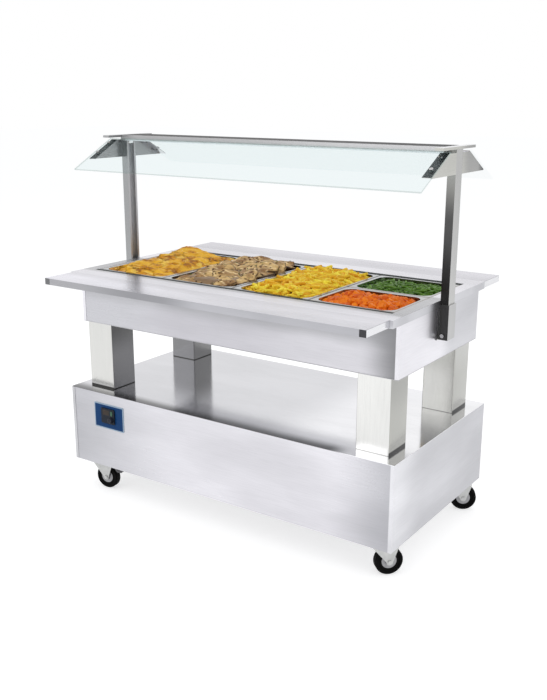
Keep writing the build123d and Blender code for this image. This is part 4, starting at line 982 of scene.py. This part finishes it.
# Painted shade: the shelf's edges are darker than its top, with a darker band just left of the middle.
tray_edge = steel(
    "tray_edge_brushed", (0.45, 0.45, 0.47), ("X", -0.50, -0.22, (0.35, 0.35, 0.37)),
    ("X", -0.12, 0.06, (0.50, 0.50, 0.53)), rough=0.3,
)
tube_steel = steel("tray_tube_bright", (0.80, 0.80, 0.82), grain=(90, 2, 90), rough=0.2)
cap_plastic = Finish("cap_moulded")
cap_grain = cap_plastic.noise(700, 2)
cap_shade = cap_plastic.mix(cap_grain, (0.045, 0.045, 0.05), (0.085, 0.085, 0.09))
# Painted light: the moulded plastic turns a lighter grey towards the left end.
cap_painted_light = cap_plastic.ramp(cap_plastic.axis("X"), 0.2, -0.66) * 0.7
cap_lit_grey = cap_plastic.mix(cap_painted_light, cap_shade, (0.30, 0.30, 0.31))
cap_plastic.set(Base_Color=cap_lit_grey, Roughness=0.45, Specular_IOR_Level=0.3)
cap_plastic.bump(cap_grain, 0.0001)
zinc = Finish("zinc_plated")
zinc_bloom = zinc.noise(45, 4)
zinc.set(
    Base_Color=zinc.mix(zinc_bloom, (0.40, 0.405, 0.40), (0.62, 0.625, 0.615)),
    Metallic=1.0, Roughness=0.3 + zinc_bloom * 0.18,
)
zinc.bump(zinc.noise(300, 2), 0.00006)
for edge in ("front", "rear"):
    folded_copy("tray_shelf_" + edge, "tray_" + edge, tray_steel, 0.0007, sides=(
        (lambda normal, middle: abs(normal.z) < 0.5, tray_edge),
    ))
    folded_copy("tray_arms_" + edge, "tray_" + edge, tube_steel, 0.0007)
    folded_copy("tray_caps_" + edge, "tray_" + edge, cap_plastic.material, 0.0008)
    repaint("tray_brackets_" + edge, zinc.material)

# Posts: lipped channels with the slot towards the middle, clamped in folded sockets on the
# casing ends. Their faces carry painted light and shade: the fronts of posts and sockets are
# painted near black, lighter on the left and towards the top of the posts, and the right post's
# outer side and the slots are painted lighter than the rest.
upright = (90, 90, 2)
post_steel = steel("post_brushed", (0.46, 0.46, 0.47), grain=upright, rough=0.42)
post_front = steel(
    "post_front_brushed", (0.022, 0.022, 0.021), ("Z", 1.00, 1.17, (0.078, 0.078, 0.076)),
    ("Z", 1.18, 1.38, (0.44, 0.435, 0.41)), ("X", 0.4, -0.4, (0.36, 0.365, 0.37)), grain=upright, rough=0.28,
)
post_side = steel("post_side_brushed", (0.58, 0.58, 0.57), grain=upright, rough=0.4)
post_inner = steel("post_inner_brushed", (0.60, 0.60, 0.61), grain=upright, rough=0.3)
socket_steel = steel("socket_brushed", (0.50, 0.50, 0.50), grain=upright, rough=0.3)
socket_front = steel(
    "socket_front_brushed", (0.048, 0.048, 0.047), ("X", 0.4, -0.4, (0.25, 0.25, 0.25)),
    grain=upright, rough=0.34,
)
post_front_y, post_outer_x = -0.0249, 0.733
slot_half_y, slot_inner_x = 0.0245, 0.7035
folded_copy("posts", "frame", post_steel, 0.0007, sides=(
    (lambda normal, middle: normal.y < -0.7 and middle.y < post_front_y, post_front),
    (lambda normal, middle: normal.x > 0.7 and middle.x > post_outer_x, post_side),
    (lambda normal, middle: abs(middle.y) < slot_half_y and abs(middle.x) > slot_inner_x, post_inner),
))
folded_copy("post_sockets", "frame", socket_steel, 0.0009, sides=(
    (looks("Y", -1), socket_front),
))

# Lamp rail: a shallow folded channel bolted between the posts, with a clear ribbed cover under
# a warm tube lamp in two ceramic holders.
# Painted light and shade: the channel is lighter towards the right, its lower lip carries a painted
# highlight, and its top face is painted darker as shade, with its reflection dimmed.
rail_steel = steel(
    "rail_brushed", (0.46, 0.46, 0.465), ("X", -0.2, 0.6, (0.62, 0.62, 0.63)),
    ("Z", 1.4035, 1.4015, (0.86, 0.86, 0.88)), rough=0.28,
)
rail_top = steel("rail_top_brushed", (0.36, 0.36, 0.37), rough=0.3, glance=0.06)
folded_copy("light_rail", "frame", rail_steel, 0.0009, slim=0.00004, sides=(
    (looks("Z", 1), rail_top),
))
lamp_glow = Finish("lamp_tube_glass")
lamp_end = lamp_glow.ramp(abs(lamp_glow.axis("X")), 0.64, 0.67)
lamp_glow.set(
    Base_Color=lamp_glow.mix(lamp_end, (0.94, 0.90, 0.80), (0.55, 0.53, 0.5)),
    Roughness=0.25 + lamp_glow.noise(60, 2) * 0.1,
    Emission_Color=lamp_glow.mix(lamp_end, (1.0, 0.86, 0.62), (0, 0, 0)),
    Emission_Strength=0.35,
)
repaint("lamp_tube", lamp_glow.material)
cover = Finish("lamp_cover_ribbed")
ribs = cover.node("ShaderNodeTexWave", {"Vector": cover.place, "Scale": 60.0}, bands_direction="Y")
cover.set(Base_Color=(0.90, 0.92, 0.92, 1), Roughness=0.22 + cover.noise(40, 2) * 0.1, Alpha=0.45)
cover.bump(ribs.outputs["Fac"], 0.0006)
repaint("lamp_cover", cover.material)

# Canopy brackets: a cross plate on top of each post, with a flanged gusset of satin stainless
# front and rear. The bent flanges are faced with black gasket on the side of the glass.
# Painted light and shade: the left web is a darker grey than the right, and the right web darkens towards
# the rear.
web_steels = {
    "left": steel("bracket_web_left", (0.36, 0.365, 0.37), rough=0.34, grain=(70, 4, 70)),
    "right": steel(
        "bracket_web_right", (0.60, 0.60, 0.56), ("Y", 0.00, 0.09, (0.40, 0.40, 0.39)),
        ("Y", 0.15, 0.205, (0.12, 0.12, 0.12)), rough=0.34, grain=(70, 4, 70),
    ),
}
plate_steel = steel("bracket_plate_bright", (0.72, 0.72, 0.74), rough=0.28)
gasket = grained("guard_gasket", 300, 2, (0.016, 0.017, 0.018), (0.035, 0.036, 0.038), 0.5, 0, 0.0001)
for side in ("left", "right"):
    folded_copy("bracket_" + side, "frame", web_steels[side], 0.0006, sides=(
        (lambda normal, middle: 0.3 < normal.y < 0.6 and normal.z < -0.7 and middle.y < 0, gasket.material),
        (lambda normal, middle: 0.3 < -normal.y < 0.6 and normal.z < -0.7 and middle.y > 0, plate_steel),
        (lambda normal, middle: 0.3 < abs(normal.y) < 0.6 and abs(normal.z) > 0.7, gasket.material),
        (lambda normal, middle: abs(normal.z) > 0.9, plate_steel),
    ))


# Breath guards: 6 mm toughened glass, polished all round, clear on the face with a greenish
# edge, screwed to the bent flanges of the gussets.
def glass_finish(name, tint, body_colour, body, rough):
    """A tinted clear pane with a faint smeared skin over it, its share given by body."""
    finish = Finish(name)
    smear = finish.noise(4, 4, (1, 2.5, 1))
    finish.set(
        Base_Color=finish.mix(smear, body_colour, tuple(min(1.0, c * 1.06) for c in body_colour)),
        Roughness=rough + smear * 0.03,
    )
    clear = finish.node("ShaderNodeBsdfTransparent", {"Color": (*tint, 1)})
    share = body + (smear - 0.5) * body * 0.5
    pane = finish.node("ShaderNodeMixShader", {0: share, 1: clear.outputs[0], 2: finish.skin.outputs[0]})
    finish.show(pane.outputs[0])
    return finish.material


edge_finish = glass_finish("guard_edge", (0.90, 0.93, 0.92), (0.40, 0.50, 0.48), 0.28, 0.08)
for side, tint in (("front", (0.950, 0.980, 0.980)), ("rear", (0.990, 0.997, 0.997))):
    pane_finish = glass_finish("guard_pane_" + side, tint, (0.10, 0.13, 0.14), 0.02, 0.02)
    folded_copy("glass_" + side, "frame", pane_finish, 0.0008, slim=0.0003, sides=(
        (lambda normal, middle: abs(normal.z) < 0.8, edge_finish if side == "front" else pane_finish),
    ))


# Screws: glass screws with hexagon nuts, socket clamp bolts, rail bolts and rear panel screws,
# all turned from stainless bar. Those at the left socket carry a painted highlight.
screw_steel = steel(
    "screw_bright", (0.34, 0.34, 0.34), ("X", -0.7103, -0.7093, (0.97, 0.97, 0.98)),
    ("X", -0.50, -0.40, (0.42, 0.42, 0.42)), rough=0.22, grain=(40, 40, 40),
)
repaint("fasteners", screw_steel)

# Control panel: a blue enamelled plate with a pale border, riveted on the plinth front. A dark
# glossy control unit stands on it with a dial knob and a green lit rocker.
blue = Finish("panel_enamel")
blue_cloud = blue.noise(12, 2)
panel_low, panel_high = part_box("control_panel")
border_width, border_blur = 0.005, 0.001


def near_edge(letter):
    """1 within the border along the panel's two edges across an axis, else 0."""
    index = "XYZ".index(letter)
    half = (panel_high[index] - panel_low[index]) / 2
    from_middle = abs(blue.axis(letter) - (panel_low[index] + panel_high[index]) / 2)
    return blue.ramp(from_middle, half - border_width, half - border_width + border_blur)


border_x, border_z = near_edge("X"), near_edge("Z")
border = border_x.math("MAXIMUM", border_x, border_z)
enamel = blue.mix(blue_cloud, (0.004, 0.042, 0.15), (0.010, 0.075, 0.24))
blue.set(
    Base_Color=blue.mix(border, enamel, (0.42, 0.55, 0.68)),
    Roughness=0.34 + blue_cloud * 0.08, Specular_IOR_Level=0.12,
)
blue.bump(blue.noise(240, 2), 0.00005)
folded_copy("control_panel", "frame", blue.material, 0.0006)
unit_gloss = Finish("control_unit_gloss")
unit_low, unit_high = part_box("control_unit")
unit_dust = unit_gloss.noise(180, 3)


def window(letter, start, end):
    """1 between two places along an axis, else 0, with edges 1 mm wide."""
    place, edge = unit_gloss.axis(letter), 0.001
    return unit_gloss.ramp(place, start, start + edge) * (1 - unit_gloss.ramp(place, end, end + edge))


display = window("X", unit_low.x + 0.008, unit_low.x + 0.042)
display = display * window("Z", unit_low.z + 0.034, unit_high.z - 0.007)
case_shade = unit_gloss.mix(unit_dust, (0.012, 0.016, 0.026), (0.022, 0.028, 0.042))
unit_gloss.set(
    Base_Color=unit_gloss.mix(display, case_shade, (0.062, 0.048, 0.040)),
    Roughness=0.32 - display * 0.12 + unit_dust * 0.06, Specular_IOR_Level=0.15,
)
unit_gloss.bump(unit_dust, 0.00004)
folded_copy("control_unit", "frame", unit_gloss.material, 0.0006)
knob_plastic = grained(
    "knob_moulded", 500, 2, (0.018, 0.020, 0.030), (0.035, 0.038, 0.055), 0.4, 0, 0.00005,
    Specular_IOR_Level=0.2,
)
folded_copy("thermostat_knob", "knob", knob_plastic.material, 0.0005, flat=0.3)
rocker = Finish("rocker_lit")
rocker_tone = rocker.noise(90, 2)
rocker.set(
    Base_Color=rocker.mix(rocker_tone, (0.018, 0.075, 0.040), (0.035, 0.120, 0.065)),
    Roughness=0.25 + rocker_tone * 0.1,
    Emission_Color=rocker.mix(rocker_tone, (0.010, 0.075, 0.030), (0.020, 0.110, 0.050)),
    Emission_Strength=0.3,
)
rocker.bump(rocker_tone, 0.00005)
folded_copy("power_rocker", "rocker", rocker.material, 0.0008)

# Rear fittings: a black cable gland on the rear panel, and the brass drain valve under the
# casing with its dipped red lever.
repaint("cable_gland", cap_plastic.material)
brass = grained(
    "valve_brass", 120, 4, (0.55, 0.40, 0.16), (0.80, 0.64, 0.32), 0.28, 0.2, 0.0002, Metallic=1.0,
)
repaint("drain_valve", brass.material)
lever_dip = grained("lever_dipped", 90, 3, (0.42, 0.02, 0.015), (0.58, 0.04, 0.03), 0.4, 0.1, 0.0002)
folded_copy("drain_lever", "valve_lever", lever_dip.material, 0.0006)

# Castors: pressed steel plates and forks, zinc plated, with a rubber tread bonded to each wheel
# centre. The front left and rear left ones have a black brake pedal on a pin.
castors = ("fl", "fr", "rl", "rr")
repaint("castor_plates", zinc.material)


def wheel_finish(castor):
    """Black rubber outside the tread radius, grey pressed centre inside it."""
    finish = Finish("castor_wheel_" + castor)
    low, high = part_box("wheel_" + castor)
    hub = (low + high) / 2
    centre_radius, bond = 0.0285, 0.001
    shifted = finish.node("ShaderNodeVectorMath", {0: finish.place, 1: hub}, operation="SUBTRACT")
    reach = finish.node("ShaderNodeVectorMath", {0: shifted.outputs[0]}, operation="LENGTH")
    rubber = finish.ramp(Wire(finish, reach.outputs["Value"]), centre_radius, centre_radius + bond)
    dust = finish.noise(60, 4)
    scuff = finish.mix(dust, (0.002, 0.002, 0.002), (0.008, 0.008, 0.008))
    centre = finish.mix(dust, (0.30, 0.30, 0.31), (0.46, 0.46, 0.47))
    finish.set(
        Base_Color=finish.mix(rubber, centre, scuff),
        Metallic=(1 - rubber) * 0.6, Roughness=0.38 + rubber * 0.22 + dust * 0.1, Specular_IOR_Level=0.06,
    )
    return finish.bump(dust, 0.0003).material


for castor in castors:
    repaint("fork_" + castor, zinc.material)
    repaint("wheel_" + castor, wheel_finish(castor))
for castor in ("fl", "rl"):
    folded_copy("pedal_" + castor, "brake_" + castor, cap_plastic.material, 0.0008)
